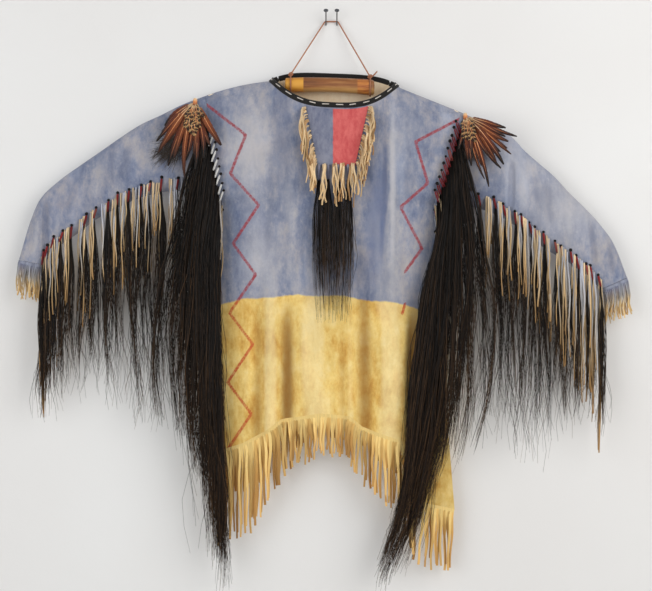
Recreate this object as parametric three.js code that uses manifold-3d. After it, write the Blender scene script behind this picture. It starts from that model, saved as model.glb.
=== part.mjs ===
// A Plains war shirt of painted hide, hung on a wooden rod by a thong over two wall pins.
// Millimetres. +X is the viewer's right, +Y points into the wall, +Z is up.
// The origin lies on the wall, midway between the two pins.

import * as THREE from "three";
import { mergeVertices } from "three/addons/utils/BufferGeometryUtils.js";
import Module from "manifold-3d";

// ---------------------------------------------------------------- driving sizes

const HIDE = 2; // wall of tanned hide
const SEAM = 0.3; // gap that parts two pieces at a seam
const ARM_SEAM = 0.5; // the same across an arm seam, which runs slanting
const STAND_OFF = 1; // how far a piece that lies on a folded hide clears it

const MID_Y = -36; // plane half way between front and back
const ARMPIT_Z = -428;
const SHOULDER_LEFT = { x: -297, z: -174 };
const SHOULDER_RIGHT = { x: 306, z: -213 };
const FRONT_DEPTH = { neck: 42, hem: 33 }; // front hide's distance from MID_Y at the middle
const BACK_DEPTH = 27;
const EDGE_DEPTH = 26; // both hides' distance from MID_Y half way down the arm seam
const EDGE_OPEN = 5; // and below the armpit, where the sides hang open
const ROOF = 110; // drop over which a shoulder rounds down to its full depth
const SHOULDER_CROWN = 6; // how far the left shoulder line bows up between neck and sleeve

const NECK = { left: -136, right: 148, leftZ: -139, rightZ: -150 };
const NECK_DIP = 51;
const NECK_RISE = 17; // the back edge stands this much above the corners
const NECK_ROOF = 100; // height of the body's imagined top over the neck opening
const BINDING = { width: 11, thick: 3.6, proud: 0.8 };

// Rows of the body between shoulder and armpit, shared by the sleeves' first rings.
const SEAM_ROWS = [0, 0.04, 0.1, 0.2, 0.38, 0.62, 0.86, 1];
const SKIRT_ROWS = [0.14, 0.3, 0.48, 0.66, 0.83, 1];

// Side edges of the body below the armpit.
const SIDES = [
  { z: -1150, left: -276, right: 290 },
  { z: -1000, left: -275, right: 278 },
  { z: -700, left: -268, right: 252 },
  { z: ARMPIT_Z, left: -254, right: 241 },
];

// The front hem: where the cut of each fringe strand begins, and how long the strand is.
const FRONT_HEM = [
  { x: -276, z: -1013, fringe: 212 },
  { x: -210, z: -992, fringe: 212 },
  { x: -154, z: -963, fringe: 180 },
  { x: -116, z: -935, fringe: 120 },
  { x: -20, z: -920, fringe: 94 },
  { x: 53, z: -927, fringe: 96 },
  { x: 81, z: -952, fringe: 125 },
  { x: 124, z: -968, fringe: 162 },
  { x: 174, z: -984, fringe: 145 },
  { x: 198, z: -1090, fringe: 150 },
  { x: 220, z: -1132, fringe: 142 },
  { x: 290, z: -1148, fringe: 158 },
];

const BACK_HEM = [
  { x: -276, z: -995, fringe: 150 },
  { x: -150, z: -945, fringe: 120 },
  { x: -60, z: -903, fringe: 85 },
  { x: 70, z: -903, fringe: 85 },
  { x: 160, z: -945, fringe: 120 },
  { x: 290, z: -1010, fringe: 160 },
];

// Hanging folds: rise is towards the viewer, width is half the fold's, from is where it starts.
const FRONT_FOLDS = [
  { x: -173, width: 14, rise: -7, from: -560 },
  { x: -144, width: 17, rise: 9, from: -480 },
  { x: -104, width: 15, rise: -13, from: -560 },
  { x: -36, width: 38, rise: 7, from: -420 },
  { x: 24, width: 9, rise: -5, from: -600 },
  { x: 44, width: 12, rise: 5, from: -560 },
  { x: 78, width: 18, rise: -10, from: -500 },
  { x: 133, width: 30, rise: 9, from: -330 },
];
const BACK_FOLDS = [
  { x: -150, width: 30, rise: 5, from: -380 },
  { x: -10, width: 34, rise: 6, from: -420 },
  { x: 150, width: 32, rise: 5, from: -380 },
];
const FOLD_GROWS_OVER = 260;
// The right side of the front drops back in one deep pleat.
const PLEAT = { x: 178, width: 9, back: 14, from: -560 };

// Sleeve sections from the arm seam to the cuff: the top fold, the lower edge, half the depth.
const SLEEVE_LEFT = [
  { topX: -297, topZ: -174, lowX: -254, lowZ: -428, depth: 26 },
  { topX: -350, topZ: -194, lowX: -312, lowZ: -404, depth: 26 },
  { topX: -403, topZ: -220, lowX: -372, lowZ: -399, depth: 25 },
  { topX: -450, topZ: -242, lowX: -420, lowZ: -406, depth: 24 },
  { topX: -497, topZ: -272, lowX: -466, lowZ: -420, depth: 23 },
  { topX: -544, topZ: -305, lowX: -509, lowZ: -440, depth: 22 },
  { topX: -592, topZ: -338, lowX: -556, lowZ: -466, depth: 21 },
  { topX: -638, topZ: -371, lowX: -598, lowZ: -498, depth: 21 },
  { topX: -684, topZ: -414, lowX: -640, lowZ: -527, depth: 20 },
  { topX: -710, topZ: -470, lowX: -662, lowZ: -549, depth: 18 },
  { topX: -737, topZ: -560, lowX: -678, lowZ: -573, depth: 16 },
];
const SLEEVE_RIGHT = [
  { topX: 306, topZ: -213, lowX: 241, lowZ: -428, depth: 26 },
  { topX: 362, topZ: -238, lowX: 318, lowZ: -433, depth: 26 },
  { topX: 419, topZ: -266, lowX: 383, lowZ: -452, depth: 25 },
  { topX: 455, topZ: -303, lowX: 425, lowZ: -475, depth: 24 },
  { topX: 490, topZ: -334, lowX: 455, lowZ: -495, depth: 23 },
  { topX: 525, topZ: -364, lowX: 484, lowZ: -520, depth: 22 },
  { topX: 560, topZ: -402, lowX: 520, lowZ: -544, depth: 21 },
  { topX: 596, topZ: -437, lowX: 552, lowZ: -562, depth: 21 },
  { topX: 631, topZ: -475, lowX: 584, lowZ: -584, depth: 20 },
  { topX: 666, topZ: -524, lowX: 608, lowZ: -602, depth: 18 },
  { topX: 697, topZ: -602, lowX: 634, lowZ: -630, depth: 16 },
];
const UNDERARM_HALF = 3.5; // half the width of a sleeve's lower edge

// The long side hair: the x of its outermost and innermost lock at heights down the body.
const SIDE_HAIR = {
  left: [
    { z: -420, outer: -352, inner: -256 },
    { z: -600, outer: -354, inner: -250 },
    { z: -830, outer: -332, inner: -246 },
    { z: -1050, outer: -324, inner: -246 },
    { z: -1300, outer: -296, inner: -240 },
  ],
  right: [
    { z: -420, outer: 338, inner: 246 },
    { z: -656, outer: 344, inner: 212 },
    { z: -891, outer: 325, inner: 184 },
    { z: -1008, outer: 300, inner: 180 },
    { z: -1135, outer: 250, inner: 179 },
    { z: -1300, outer: 205, inner: 124 },
  ],
  lowLeft: [
    { z: -450, outer: -302, inner: -268 },
    { z: -800, outer: -306, inner: -282 },
    { z: -1300, outer: -296, inner: -250 },
  ],
  lowRight: [
    { z: -450, outer: 296, inner: 260 },
    { z: -800, outer: 293, inner: 270 },
    { z: -1000, outer: 256, inner: 214 },
    { z: -1135, outer: 230, inner: 194 },
    { z: -1300, outer: 196, inner: 120 },
  ],
};

const BIB = { topLeft: -60, topRight: 86, lowLeft: -32, lowRight: 55, lowZ: -343, rows: 5, columns: 8 };

const ROD = { left: -109, right: 101, y: MID_Y, leftZ: -147, rightZ: -153, radius: 18 };
const THONG = { radius: 1.75, leftX: -96, rightX: 91, hole: 2.7 };
const PINS = { apart: 26, radius: 1.5, length: 41, tilt: Math.PI / 4, seat: 7, head: 5.5, headThick: 2 };

const COLOURS = {
  blueHide: 0x8f95a6,
  yellowHide: 0xdcbb78,
  rawHide: 0xd2b184,
  redHide: 0xce5e5f,
  binding: 0x17130f,
  hair: 0x1f1812,
  feather: 0x7d4326,
  wood: 0x9a6a3a,
  thong: 0x8a5236,
  steel: 0x4a4c50,
};

// ---------------------------------------------------------------- small sums

const wasm = await Module();
wasm.setup();

const v3 = (x, y, z) => new THREE.Vector3(x, y, z);
const lerp = THREE.MathUtils.lerp;
const clamp = THREE.MathUtils.clamp;
const smooth = (t) => THREE.MathUtils.smoothstep(t, 0, 1);
const mean = (a, b) => a.clone().add(b).multiplyScalar(0.5);

// A quarter ellipse: 0 at 0, and 1 from 1 on, upright where it starts.
const arc = (t) => Math.sqrt(1 - (1 - clamp(t, 0, 1)) ** 2);

// The same number from 0 to 1 each time for the same pair of whole numbers.
function chance(i, k) {
  const spread = Math.sin(i * 12.9898 + k * 78.233) * 43758.5453;
  return spread - Math.floor(spread);
}

// A row of a table between its rows, found by the value of one column.
function rowAt(table, column, value) {
  const up = table[0][column] < table[table.length - 1][column] ? 1 : -1;
  let i = 0;
  while (i < table.length - 2 && up * (value - table[i + 1][column]) > 0) {
    i += 1;
  }
  const [a, b] = [table[i], table[i + 1]];
  const t = clamp((value - a[column]) / (b[column] - a[column]), 0, 1);
  return Object.fromEntries(Object.keys(a).map((key) => [key, lerp(a[key], b[key], t)]));
}

// ---------------------------------------------------------------- cloth from grids

// Faces of a grid of points with its rows laid end to end. loop joins the last column to the first.
function gridFaces(rows, columns, loop = false) {
  const faces = [];
  for (let r = 0; r < rows - 1; r += 1) {
    for (let c = 0; c < columns - (loop ? 0 : 1); c += 1) {
      const d = (c + 1) % columns;
      faces.push([r * columns + c, r * columns + d, (r + 1) * columns + d, (r + 1) * columns + c]);
    }
  }
  return faces;
}

// A closed wall: the same four-sided faces outside and inside, joined along every free edge.
function wall(faces, outer, inner) {
  const inside = outer.length;
  const free = new Map();
  for (const face of faces) {
    face.forEach((a, i) => {
      const b = face[(i + 1) % 4];
      const back = `${b},${a}`;
      if (free.has(back)) {
        free.delete(back);
      } else {
        free.set(`${a},${b}`, [a, b]);
      }
    });
  }
  const index = [];
  for (const [a, b, c, d] of faces) {
    index.push(a, b, c, a, c, d);
    index.push(inside + a, inside + c, inside + b, inside + a, inside + d, inside + c);
  }
  const points = [...outer, ...inner];
  const apart = (a, b) => points[a].distanceToSquared(points[b]);
  for (const [a, b] of free.values()) {
    const [c, d] = [inside + a, inside + b];
    // Each rim face is split along its shorter diagonal, so that two rims that meet are split alike.
    index.push(...(apart(b, c) < apart(a, d) ? [b, a, c, b, c, d] : [b, a, d, a, c, d]));
  }
  const positions = new Float32Array(points.flatMap((p) => [p.x, p.y, p.z]));
  return facingOut(positions, index);
}

// Turns the faces round if together they enclose a negative volume.
function facingOut(positions, index) {
  const at = (i) => v3(positions[3 * i], positions[3 * i + 1], positions[3 * i + 2]);
  let volume = 0;
  for (let i = 0; i < index.length; i += 3) {
    volume += at(index[i]).dot(at(index[i + 1]).cross(at(index[i + 2])));
  }
  const turned = volume > 0 ? index : index.map((_, i) => index[i - (i % 3) + (2 - (i % 3))]);
  const geometry = new THREE.BufferGeometry();
  geometry.setAttribute("position", new THREE.BufferAttribute(positions, 3));
  geometry.setIndex(turned);
  geometry.computeVertexNormals();
  return geometry;
}

// Unit normals of a grid, on the side that `towards` points to.
function gridNormals(points, rows, columns, towards, loop = false) {
  const at = (r, c) => points[r * columns + c];
  const next = (c, step) => (loop ? (c + step + columns) % columns : clamp(c + step, 0, columns - 1));
  return points.map((_, i) => {
    const [r, c] = [Math.floor(i / columns), i % columns];
    const across = at(r, next(c, 1)).clone().sub(at(r, next(c, -1)));
    const down = at(Math.min(r + 1, rows - 1), c).clone().sub(at(Math.max(r - 1, 0), c));
    const normal = across.cross(down).normalize();
    return normal.dot(towards(points[i], i)) < 0 ? normal.negate() : normal;
  });
}

const moved = (points, directions, distance) =>
  points.map((p, i) => p.clone().addScaledVector(directions[i], distance));

// ---------------------------------------------------------------- solids by manifold-3d

function solidOf(geometry) {
  const bare = geometry.clone();
  bare.deleteAttribute("normal");
  bare.deleteAttribute("uv");
  const merged = mergeVertices(bare, 1e-4);
  return new wasm.Manifold(
    new wasm.Mesh({
      numProp: 3,
      vertProperties: new Float32Array(merged.attributes.position.array),
      triVerts: new Uint32Array(merged.index.array),
    }),
  );
}

function geometryOf(solid) {
  const mesh = solid.getMesh();
  const geometry = new THREE.BufferGeometry();
  geometry.setAttribute("position", new THREE.BufferAttribute(mesh.vertProperties, 3));
  geometry.setIndex(new THREE.BufferAttribute(mesh.triVerts, 1));
  geometry.computeVertexNormals();
  return geometry;
}

const joined = (geometries) => geometryOf(geometries.map(solidOf).reduce((all, one) => all.add(one)));

// ---------------------------------------------------------------- the body's shape

const neckMiddle = (NECK.left + NECK.right) / 2;
const neckHalf = (NECK.right - NECK.left) / 2;
const hideHalf = neckHalf + BINDING.width; // half the hide's own opening, under the binding
const cornerLine = (x) => lerp(NECK.leftZ, NECK.rightZ, (x - NECK.left) / (2 * neckHalf));

// Top of the body at x, with the neck opening roofed over.
function ridgeZ(x) {
  const t = Math.abs((x - neckMiddle) / hideHalf);
  if (t < 1) {
    return cornerLine(x) + NECK_ROOF * (1 - t ** 2.5);
  }
  if (x < neckMiddle) {
    const u = clamp((x - SHOULDER_LEFT.x) / (NECK.left - SHOULDER_LEFT.x), 0, 1);
    return lerp(SHOULDER_LEFT.z, NECK.leftZ, u) + SHOULDER_CROWN * 4 * u * (1 - u);
  }
  return lerp(SHOULDER_RIGHT.z, NECK.rightZ, (x - SHOULDER_RIGHT.x) / (NECK.right - SHOULDER_RIGHT.x));
}

// Height of the neck's cut edge at x, for a cut made `below` the bare edge.
function neckZ(face, x, below) {
  const t = Math.abs((x - neckMiddle) / (neckHalf + below));
  if (t >= 1) {
    return ridgeZ(x);
  }
  return face === "front"
    ? cornerLine(x) - (NECK_DIP + below) * (1 - t ** 2.8)
    : cornerLine(x) + (NECK_RISE - below) * (1 - t ** 4);
}

function sideX(z) {
  if (z <= ARMPIT_Z) {
    return rowAt(SIDES, "z", z);
  }
  const armpit = SIDES[SIDES.length - 1];
  const up = (shoulder) => (z - ARMPIT_Z) / (shoulder.z - ARMPIT_Z);
  return {
    left: lerp(armpit.left, SHOULDER_LEFT.x, up(SHOULDER_LEFT)),
    right: lerp(armpit.right, SHOULDER_RIGHT.x, up(SHOULDER_RIGHT)),
  };
}

// Distance of the arm seam and the open side below it from MID_Y, s from 0 at the shoulder to 1.
const halfRound = (s) => Math.sqrt(Math.max(0, 1 - (1 - 2 * s) ** 2));
const edgeDepth = (s) => Math.max(EDGE_DEPTH * halfRound(s), EDGE_OPEN * smooth(4 * s));

function foldRise(folds, x, z) {
  return folds.reduce((sum, fold) => {
    const across = Math.exp(-(((x - fold.x) / fold.width) ** 2));
    return sum + fold.rise * across * smooth((fold.from - z) / FOLD_GROWS_OVER);
  }, 0);
}

// The y of the front or back hide's outer face over a point of the wall.
function bodyY(face, x, z) {
  const side = sideX(z);
  const u = clamp((2 * (x - side.left)) / (side.right - side.left) - 1, -1, 1);
  const shoulderZ = u < 0 ? SHOULDER_LEFT.z : SHOULDER_RIGHT.z;
  const edge = Math.abs(u) ** 3;
  const s = clamp((shoulderZ - z) / (shoulderZ - ARMPIT_Z), 0, 1);
  const roof = arc((ridgeZ(x) - z) / ROOF);
  const calm = 1 - edge;
  if (face === "front") {
    const middle = lerp(FRONT_DEPTH.neck, FRONT_DEPTH.hem, smooth((-200 - z) / 500));
    const pastPleat = smooth((x - PLEAT.x) / (2 * PLEAT.width) + 0.5);
    const fall = smooth((PLEAT.from - z) / FOLD_GROWS_OVER) * pastPleat;
    const depth = lerp(middle * roof, edgeDepth(s), edge);
    return MID_Y - depth - calm * (foldRise(FRONT_FOLDS, x, z) - PLEAT.back * fall);
  }
  return MID_Y + lerp(BACK_DEPTH * roof, edgeDepth(s), edge) - calm * foldRise(BACK_FOLDS, x, z);
}

// ---------------------------------------------------------------- sleeves

// A point of a sleeve: `along` counts sections from the arm seam, s runs from top fold to lower edge.
function sleevePoint(sections, along, s, face) {
  const k = clamp(Math.floor(along), 0, sections.length - 2);
  const row = Object.fromEntries(
    Object.keys(sections[k]).map((key) => [key, lerp(sections[k][key], sections[k + 1][key], along - k)]),
  );
  const seam = clamp(1 - along, 0, 1);
  const lowest = lerp(UNDERARM_HALF, EDGE_OPEN, seam);
  const depth = s === 0 ? 0 : Math.max(row.depth * halfRound(s), lowest * smooth(4 * s));
  const y = MID_Y + (face === "front" ? -depth : depth);
  return v3(lerp(row.topX, row.lowX, s), y, lerp(row.topZ, row.lowZ, s));
}

// One ring of a sleeve: down the front, then up the back.
function sleeveRing(sections, k) {
  const front = SEAM_ROWS.map((s) => sleevePoint(sections, k, s, "front"));
  const back = SEAM_ROWS.slice(1).reverse().map((s) => sleevePoint(sections, k, s, "back"));
  return [...front, ...back];
}

// Unit directions into a flat ring at each of its points, within the ring's own plane.
function ringInward(ring) {
  const middle = ring.reduce((sum, p) => sum.add(p), v3(0, 0, 0)).divideScalar(ring.length);
  const plane = v3(0, 1, 0).cross(ring[0].clone().sub(middle)).normalize();
  return ring.map((p, i) => {
    const before = ring[(i + ring.length - 1) % ring.length];
    const after = ring[(i + 1) % ring.length];
    const along = p.clone().sub(before).normalize().add(after.clone().sub(p).normalize());
    const inward = along.cross(plane).normalize();
    return inward.dot(middle.clone().sub(p)) < 0 ? inward.negate() : inward;
  });
}

function sleeve(sections) {
  const outward = Math.sign(sections[0].topX);
  const rings = sections.map((_, k) => sleeveRing(sections, k));
  const inner = rings.map((ring) => moved(ring, ringInward(ring), HIDE));
  [rings[0], inner[0]].forEach((ring) => ring.forEach((p) => p.setX(p.x + (outward * ARM_SEAM) / 2)));
  return wall(gridFaces(rings.length, rings[0].length, true), rings.flat(), inner.flat());
}

// ---------------------------------------------------------------- front and back hides

// Shares of the body's width at which a hide's columns stand, with one on each neck corner.
function columnShares(shoulderCells, neckCells) {
  const width = SHOULDER_RIGHT.x - SHOULDER_LEFT.x;
  const corners = [-hideHalf, hideHalf].map((x) => (neckMiddle + x - SHOULDER_LEFT.x) / width);
  const stops = [0, ...corners, 1];
  const cells = [shoulderCells, neckCells, shoulderCells];
  const shares = cells.flatMap((count, part) =>
    Array.from({ length: count }, (_, i) => lerp(stops[part], stops[part + 1], i / count)),
  );
  return [...shares, 1];
}

// A point of a hide: share across the body, row down it (0 to 1 above the armpit, 1 to 2 below).
function hidePoint(face, share, row) {
  const topX = lerp(SHOULDER_LEFT.x, SHOULDER_RIGHT.x, share);
  const topZ = neckZ(face, topX, BINDING.width);
  const armpit = sideX(ARMPIT_Z);
  let [x, z] = [lerp(topX, lerp(armpit.left, armpit.right, share), row), lerp(topZ, ARMPIT_Z, row)];
  if (row > 1) {
    const hem = face === "front" ? FRONT_HEM : BACK_HEM;
    z = lerp(ARMPIT_Z, rowAt(hem, "x", lerp(-276, 290, share)).z, row - 1);
    x = lerp(sideX(z).left, sideX(z).right, share);
  }
  const onRidge = row === 0 && z >= ridgeZ(topX) - 1e-6;
  const y = onRidge ? MID_Y + (face === "front" ? -SEAM / 2 : SEAM / 2) : bodyY(face, x, z);
  return v3(x, y, z);
}

// A hide's outer points row by row, and the unit directions into its wall.
function hideGrid(face, shares) {
  const rows = [...SEAM_ROWS, ...SKIRT_ROWS.map((r) => 1 + r)];
  const columns = shares.length;
  const outer = rows.flatMap((row) => shares.map((share) => hidePoint(face, share, row)));
  const into = gridNormals(outer, rows.length, columns, () => v3(0, face === "front" ? 1 : -1, 0));
  // Along the shoulder the two hides meet square, and along the arm seam they match the sleeve.
  outer.slice(0, columns).forEach((p, c) => {
    if (Math.abs(p.y - MID_Y) < SEAM) {
      into[c].set(0, 0, -1);
    }
  });
  const sleeves = [SLEEVE_LEFT, SLEEVE_RIGHT];
  [0, columns - 1].forEach((c, side) => {
    const ring = sleeveRing(sleeves[side], 0);
    const inward = ringInward(ring);
    SEAM_ROWS.forEach((_, r) => {
      const i = r * columns + c;
      into[i].copy(inward[face === "front" ? r : (ring.length - r) % ring.length]);
      outer[i].x -= (Math.sign(outer[i].x) * ARM_SEAM) / 2;
    });
  });
  return { rows: rows.length, columns, outer, into };
}

const hide = ({ rows, columns, outer, into }) =>
  wall(gridFaces(rows, columns), outer, moved(outer, into, HIDE));

// ---------------------------------------------------------------- neck binding and bib

// A ring of black cloth round the neck, from a hair above the hides' cut edges to the bare edge.
function neckBinding(front, back) {
  const cut = ({ outer, into, columns }, face) =>
    outer.slice(0, columns).flatMap((p, c) => {
      const t = (p.x - neckMiddle) / hideHalf;
      return Math.abs(t) < 0.999 ? [{ face, t, cut: p, into: into[c] }] : [];
    });
  const corner = (t) => {
    const x = neckMiddle + t * hideHalf;
    return { face: "corner", t, cut: v3(x, MID_Y, ridgeZ(x)), into: v3(0, 0, -1) };
  };
  const ring = [corner(-1), ...cut(front, "front"), corner(1), ...cut(back, "back").reverse()];
  const heart = v3(neckMiddle, MID_Y, NECK.leftZ + NECK_ROOF);
  const low = ring.map(({ cut: p, into }, i) => {
    const [before, after] = [ring.at(i - 1), ring[(i + 1) % ring.length]];
    const off = after.cut.clone().sub(before.cut).cross(into).normalize();
    const sense = Math.sign(off.dot(heart.clone().sub(p)));
    const nearCorner = [before, ring[i], after].some(({ face }) => face === "corner");
    return p.clone().addScaledVector(off, (nearCorner ? 4 : 2.4) * sense * SEAM);
  });
  const high = ring.map(({ face, t, cut: p }) => {
    const x = neckMiddle + t * neckHalf;
    if (face === "corner") {
      return v3(x, MID_Y, p.z + 2);
    }
    const z = neckZ(face, x, 0);
    return v3(x, bodyY(face, x, z), z);
  });
  const points = [...low, ...high];
  const into = [...ring, ...ring].map((post) => post.into);
  const outer = moved(points, into, -BINDING.proud);
  return wall(gridFaces(2, ring.length, true), outer, moved(points, into, BINDING.thick - BINDING.proud));
}

// A point of the flap that hangs from the neck: across and down run from 0 to 1.
function bibPoint(across, down, lift) {
  const top = neckZ("front", lerp(BIB.topLeft, BIB.topRight, across), BINDING.width) - SEAM - BINDING.thick;
  const z = lerp(top, BIB.lowZ, down);
  const x = lerp(lerp(BIB.topLeft, BIB.lowLeft, down), lerp(BIB.topRight, BIB.lowRight, down), across);
  return v3(x, bodyY("front", x, z) - lift, z);
}

function bib() {
  const grid = (lift) => {
    const points = [];
    for (let r = 0; r <= BIB.rows; r += 1) {
      for (let c = 0; c <= BIB.columns; c += 1) {
        points.push(bibPoint(c / BIB.columns, r / BIB.rows, lift));
      }
    }
    return points;
  };
  return wall(gridFaces(BIB.rows + 1, BIB.columns + 1), grid(STAND_OFF + HIDE), grid(STAND_OFF));
}

// ---------------------------------------------------------------- fringes, locks and feathers

// A comb of strands fused into one narrow backing strip.
// strip(t) gives the backing's held edge, its strand edge and its outward direction at t.
// strand(i, s) gives a strand's middle, half width and half depth as vectors, s from 0 to 1.
function comb({ cells, fill, steps, strip, strand, thick, corners = false, loop = false }) {
  const [outer, inner, faces] = [[], [], []];
  const add = (p, half) => {
    outer.push(p.clone().add(half));
    inner.push(p.clone().sub(half));
    return outer.length - 1;
  };
  const stops = [];
  for (let i = 0; i < cells; i += 1) {
    if (corners) {
      stops.push({ t: i });
    }
    stops.push({ t: i + 0.5 - fill / 2, strand: i }, { t: i + 0.5 + fill / 2 });
  }
  if (corners && !loop) {
    stops.push({ t: cells });
  }
  const posts = stops.map(({ t }) => {
    const { held, free, out } = strip(t / cells);
    const half = out.clone().multiplyScalar(thick / 2);
    return { held: add(held, half), free: add(free, half) };
  });
  const last = loop ? posts.length : posts.length - 1;
  for (let k = 0; k < last; k += 1) {
    const [a, b] = [posts[k], posts[(k + 1) % posts.length]];
    faces.push([a.held, b.held, b.free, a.free]);
    if (stops[k].strand === undefined) {
      continue;
    }
    let [left, right] = [a.free, b.free];
    // Which side of the strip its own face shows, so that the strand carries on from it unturned.
    const across = outer[b.held].clone().sub(outer[a.held]);
    const out = outer[a.held].clone().sub(inner[a.held]);
    const facing = across.cross(outer[a.free].clone().sub(outer[a.held])).dot(out);
    for (let j = 1; j <= steps; j += 1) {
      const { middle, half, deep } = strand(stops[k].strand, j / steps);
      const onward = middle.clone().sub(mean(outer[left], inner[right]));
      if (half.clone().cross(onward).dot(deep) * facing < 0) {
        half.negate();
      }
      const nextLeft = add(middle.clone().sub(half), deep);
      const nextRight = add(middle.clone().add(half), deep);
      faces.push([left, right, nextRight, nextLeft]);
      [left, right] = [nextLeft, nextRight];
    }
  }
  return wall(faces, outer, inner);
}

// A strand that falls from `root`: width and depth are at its fullest and taper to its tip.
function falling({ root, length, width, depth, tip = 0.7, swell = 0, toX = 0, toY = 0 }, s) {
  const drop = smooth(Math.min(1, (s * length) / 170));
  const wide = lerp(width, width * tip, s) * (swell ? lerp(swell, 1, smooth(s * 5)) : 1);
  const deep = lerp(depth, depth * tip, s) * (swell ? lerp(swell, 1, smooth(s * 5)) : 1);
  return {
    middle: v3(root.x + toX * drop, root.y + toY * drop, root.z - length * s),
    half: v3(wide / 2, 0, 0),
    deep: v3(0, -deep / 2, 0),
  };
}

const HEM_STRIP = 7; // width of a hem fringe's uncut backing
const LACE = 2.4; // thickness of the thong that locks are tied to

// The cut fringe of a hem: one strand below each of the hide's columns of faces.
function hemFringe({ rows, columns, outer, into }, table, steps) {
  const cells = columns - 1;
  const inWall = moved(outer, into, HIDE / 2);
  const hem = inWall.slice((rows - 1) * columns);
  const onward = hem.map((p, c) => {
    const along = hem[Math.min(c + 1, cells)].clone().sub(hem[Math.max(c - 1, 0)]).normalize();
    const down = p.clone().sub(inWall[(rows - 2) * columns + c]);
    return down.addScaledVector(along, -down.dot(along)).normalize();
  });
  const edge = (t, past) => {
    const c = clamp(Math.floor(t * cells), 0, cells - 1);
    const ends = [c, c + 1].map((k) => hem[k].clone().addScaledVector(onward[k], past));
    return ends[0].lerp(ends[1], t * cells - c);
  };
  return comb({
    cells,
    fill: 0.68,
    steps,
    thick: HIDE,
    corners: true,
    strip: (t) => ({ held: edge(t, 2.4 * SEAM), free: edge(t, HEM_STRIP), out: v3(0, -1, 0) }),
    strand: (i, s) => {
      const root = edge((i + 0.5) / cells, HEM_STRIP);
      const length = (rowAt(table, "x", root.x).fringe - HEM_STRIP) * lerp(0.9, 1.05, chance(i, 1));
      const width = 0.62 * (hem[i + 1].x - hem[i].x);
      return falling({ root, length, width, depth: HIDE, tip: 0.85, toX: 3 * Math.sin(i / 3) }, s);
    },
  });
}

// The cut fringe round a cuff: a ring of hide with a strand below each face of the sleeve's last ring.
function cuffFringe(sections) {
  const ring = sleeveRing(sections, sections.length - 1);
  const before = sleeveRing(sections, sections.length - 2);
  const inward = ringInward(ring);
  const onward = ring.map((p, i) => p.clone().sub(before[i]).normalize());
  const cells = ring.length;
  const ringAt = (list, t) => {
    const i = Math.floor(t * cells) % cells;
    return list[i].clone().lerp(list[(i + 1) % cells], t * cells - Math.floor(t * cells));
  };
  const edge = (t, past) =>
    ringAt(ring, t).addScaledVector(ringAt(inward, t), HIDE / 2).addScaledVector(ringAt(onward, t), past);
  return comb({
    cells,
    fill: 0.5,
    steps: 2,
    thick: HIDE * 0.8,
    corners: true,
    loop: true,
    strip: (t) => ({ held: edge(t, 3 * SEAM), free: edge(t, 6), out: ringAt(inward, t).negate() }),
    strand: (i, s) => {
      const t = (i + 0.5) / cells;
      const root = edge(t, 6);
      const across = edge((i + 0.72) / cells, 6).sub(edge((i + 0.28) / cells, 6));
      const out = ringAt(inward, t).negate();
      const length = lerp(56, 72, chance(i, 2));
      return {
        middle: root.addScaledVector(ringAt(onward, t), 12 * s).add(v3(0, 0, -length * s)),
        half: across.multiplyScalar(lerp(0.5, 0.36, s)),
        deep: out.multiplyScalar((HIDE * 0.8) / 2),
      };
    },
  });
}

// Hide thongs along a sleeve's lower edge, one below each section of the sleeve.
function sleeveFringe(sections, lengths) {
  const cells = sections.length - 1;
  const edge = (t) => mean(
    sleevePoint(sections, t * cells, 1, "front"),
    sleevePoint(sections, t * cells, 1, "back"),
  ).add(v3(0, 0, -2 * SEAM));
  return comb({
    cells,
    fill: 0.16,
    steps: 3,
    thick: 3,
    corners: true,
    strip: (t) => ({ held: edge(t), free: edge(t).add(v3(0, 0, -6)), out: v3(0, -1, 0) }),
    strand: (i, s) => {
      const t = (i + 0.5) / cells;
      const root = edge(t).add(v3(0, 0, -6));
      const length = rowAt(lengths, "at", t).thong * lerp(0.9, 1.1, chance(i, 3));
      return falling({ root, length, width: 7, depth: 3, toX: 3 * Math.sin(2 * i) }, s);
    },
  });
}

// Hair locks hung from a cord that lies on a sleeve's front face, just above its lower edge.
const LOCK_ROW = 0.86; // how far down the sleeve the cord lies, on one of its rows
function sleeveLocks(sections, lengths, count) {
  const cells = sections.length - 1;
  const cord = (t, drop) =>
    sleevePoint(sections, lerp(0.9, cells - 0.35, t), LOCK_ROW, "front").add(
      v3(0, -LACE / 2 - 2 * SEAM, -drop),
    );
  return comb({
    cells: count,
    fill: 0.2,
    steps: 5,
    thick: LACE,
    strip: (t) => ({ held: cord(t, 0), free: cord(t, 4), out: v3(0, -1, 0) }),
    strand: (i, s) => {
      const t = (i + 0.5) / count;
      const root = cord(t, 4);
      const length = rowAt(lengths, "at", t).lock * lerp(0.93, 1.02, chance(i, 4));
      // Near the cuff the cord runs steeply, and the locks hang closer together.
      const width = Math.min(19, 0.75 * Math.abs(cord((i + 1) / count, 4).x - cord(i / count, 4).x));
      return falling({ root, length, width, depth: 10, tip: 0.2, swell: 0.25, toY: -6 }, s);
    },
  });
}

// Where the long locks of one side are laced: down the arm seam and on down the front's open side.
function sideEdge(side, z) {
  const x = sideX(z)[side];
  return v3(x, bodyY("front", x, z), z);
}

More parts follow.
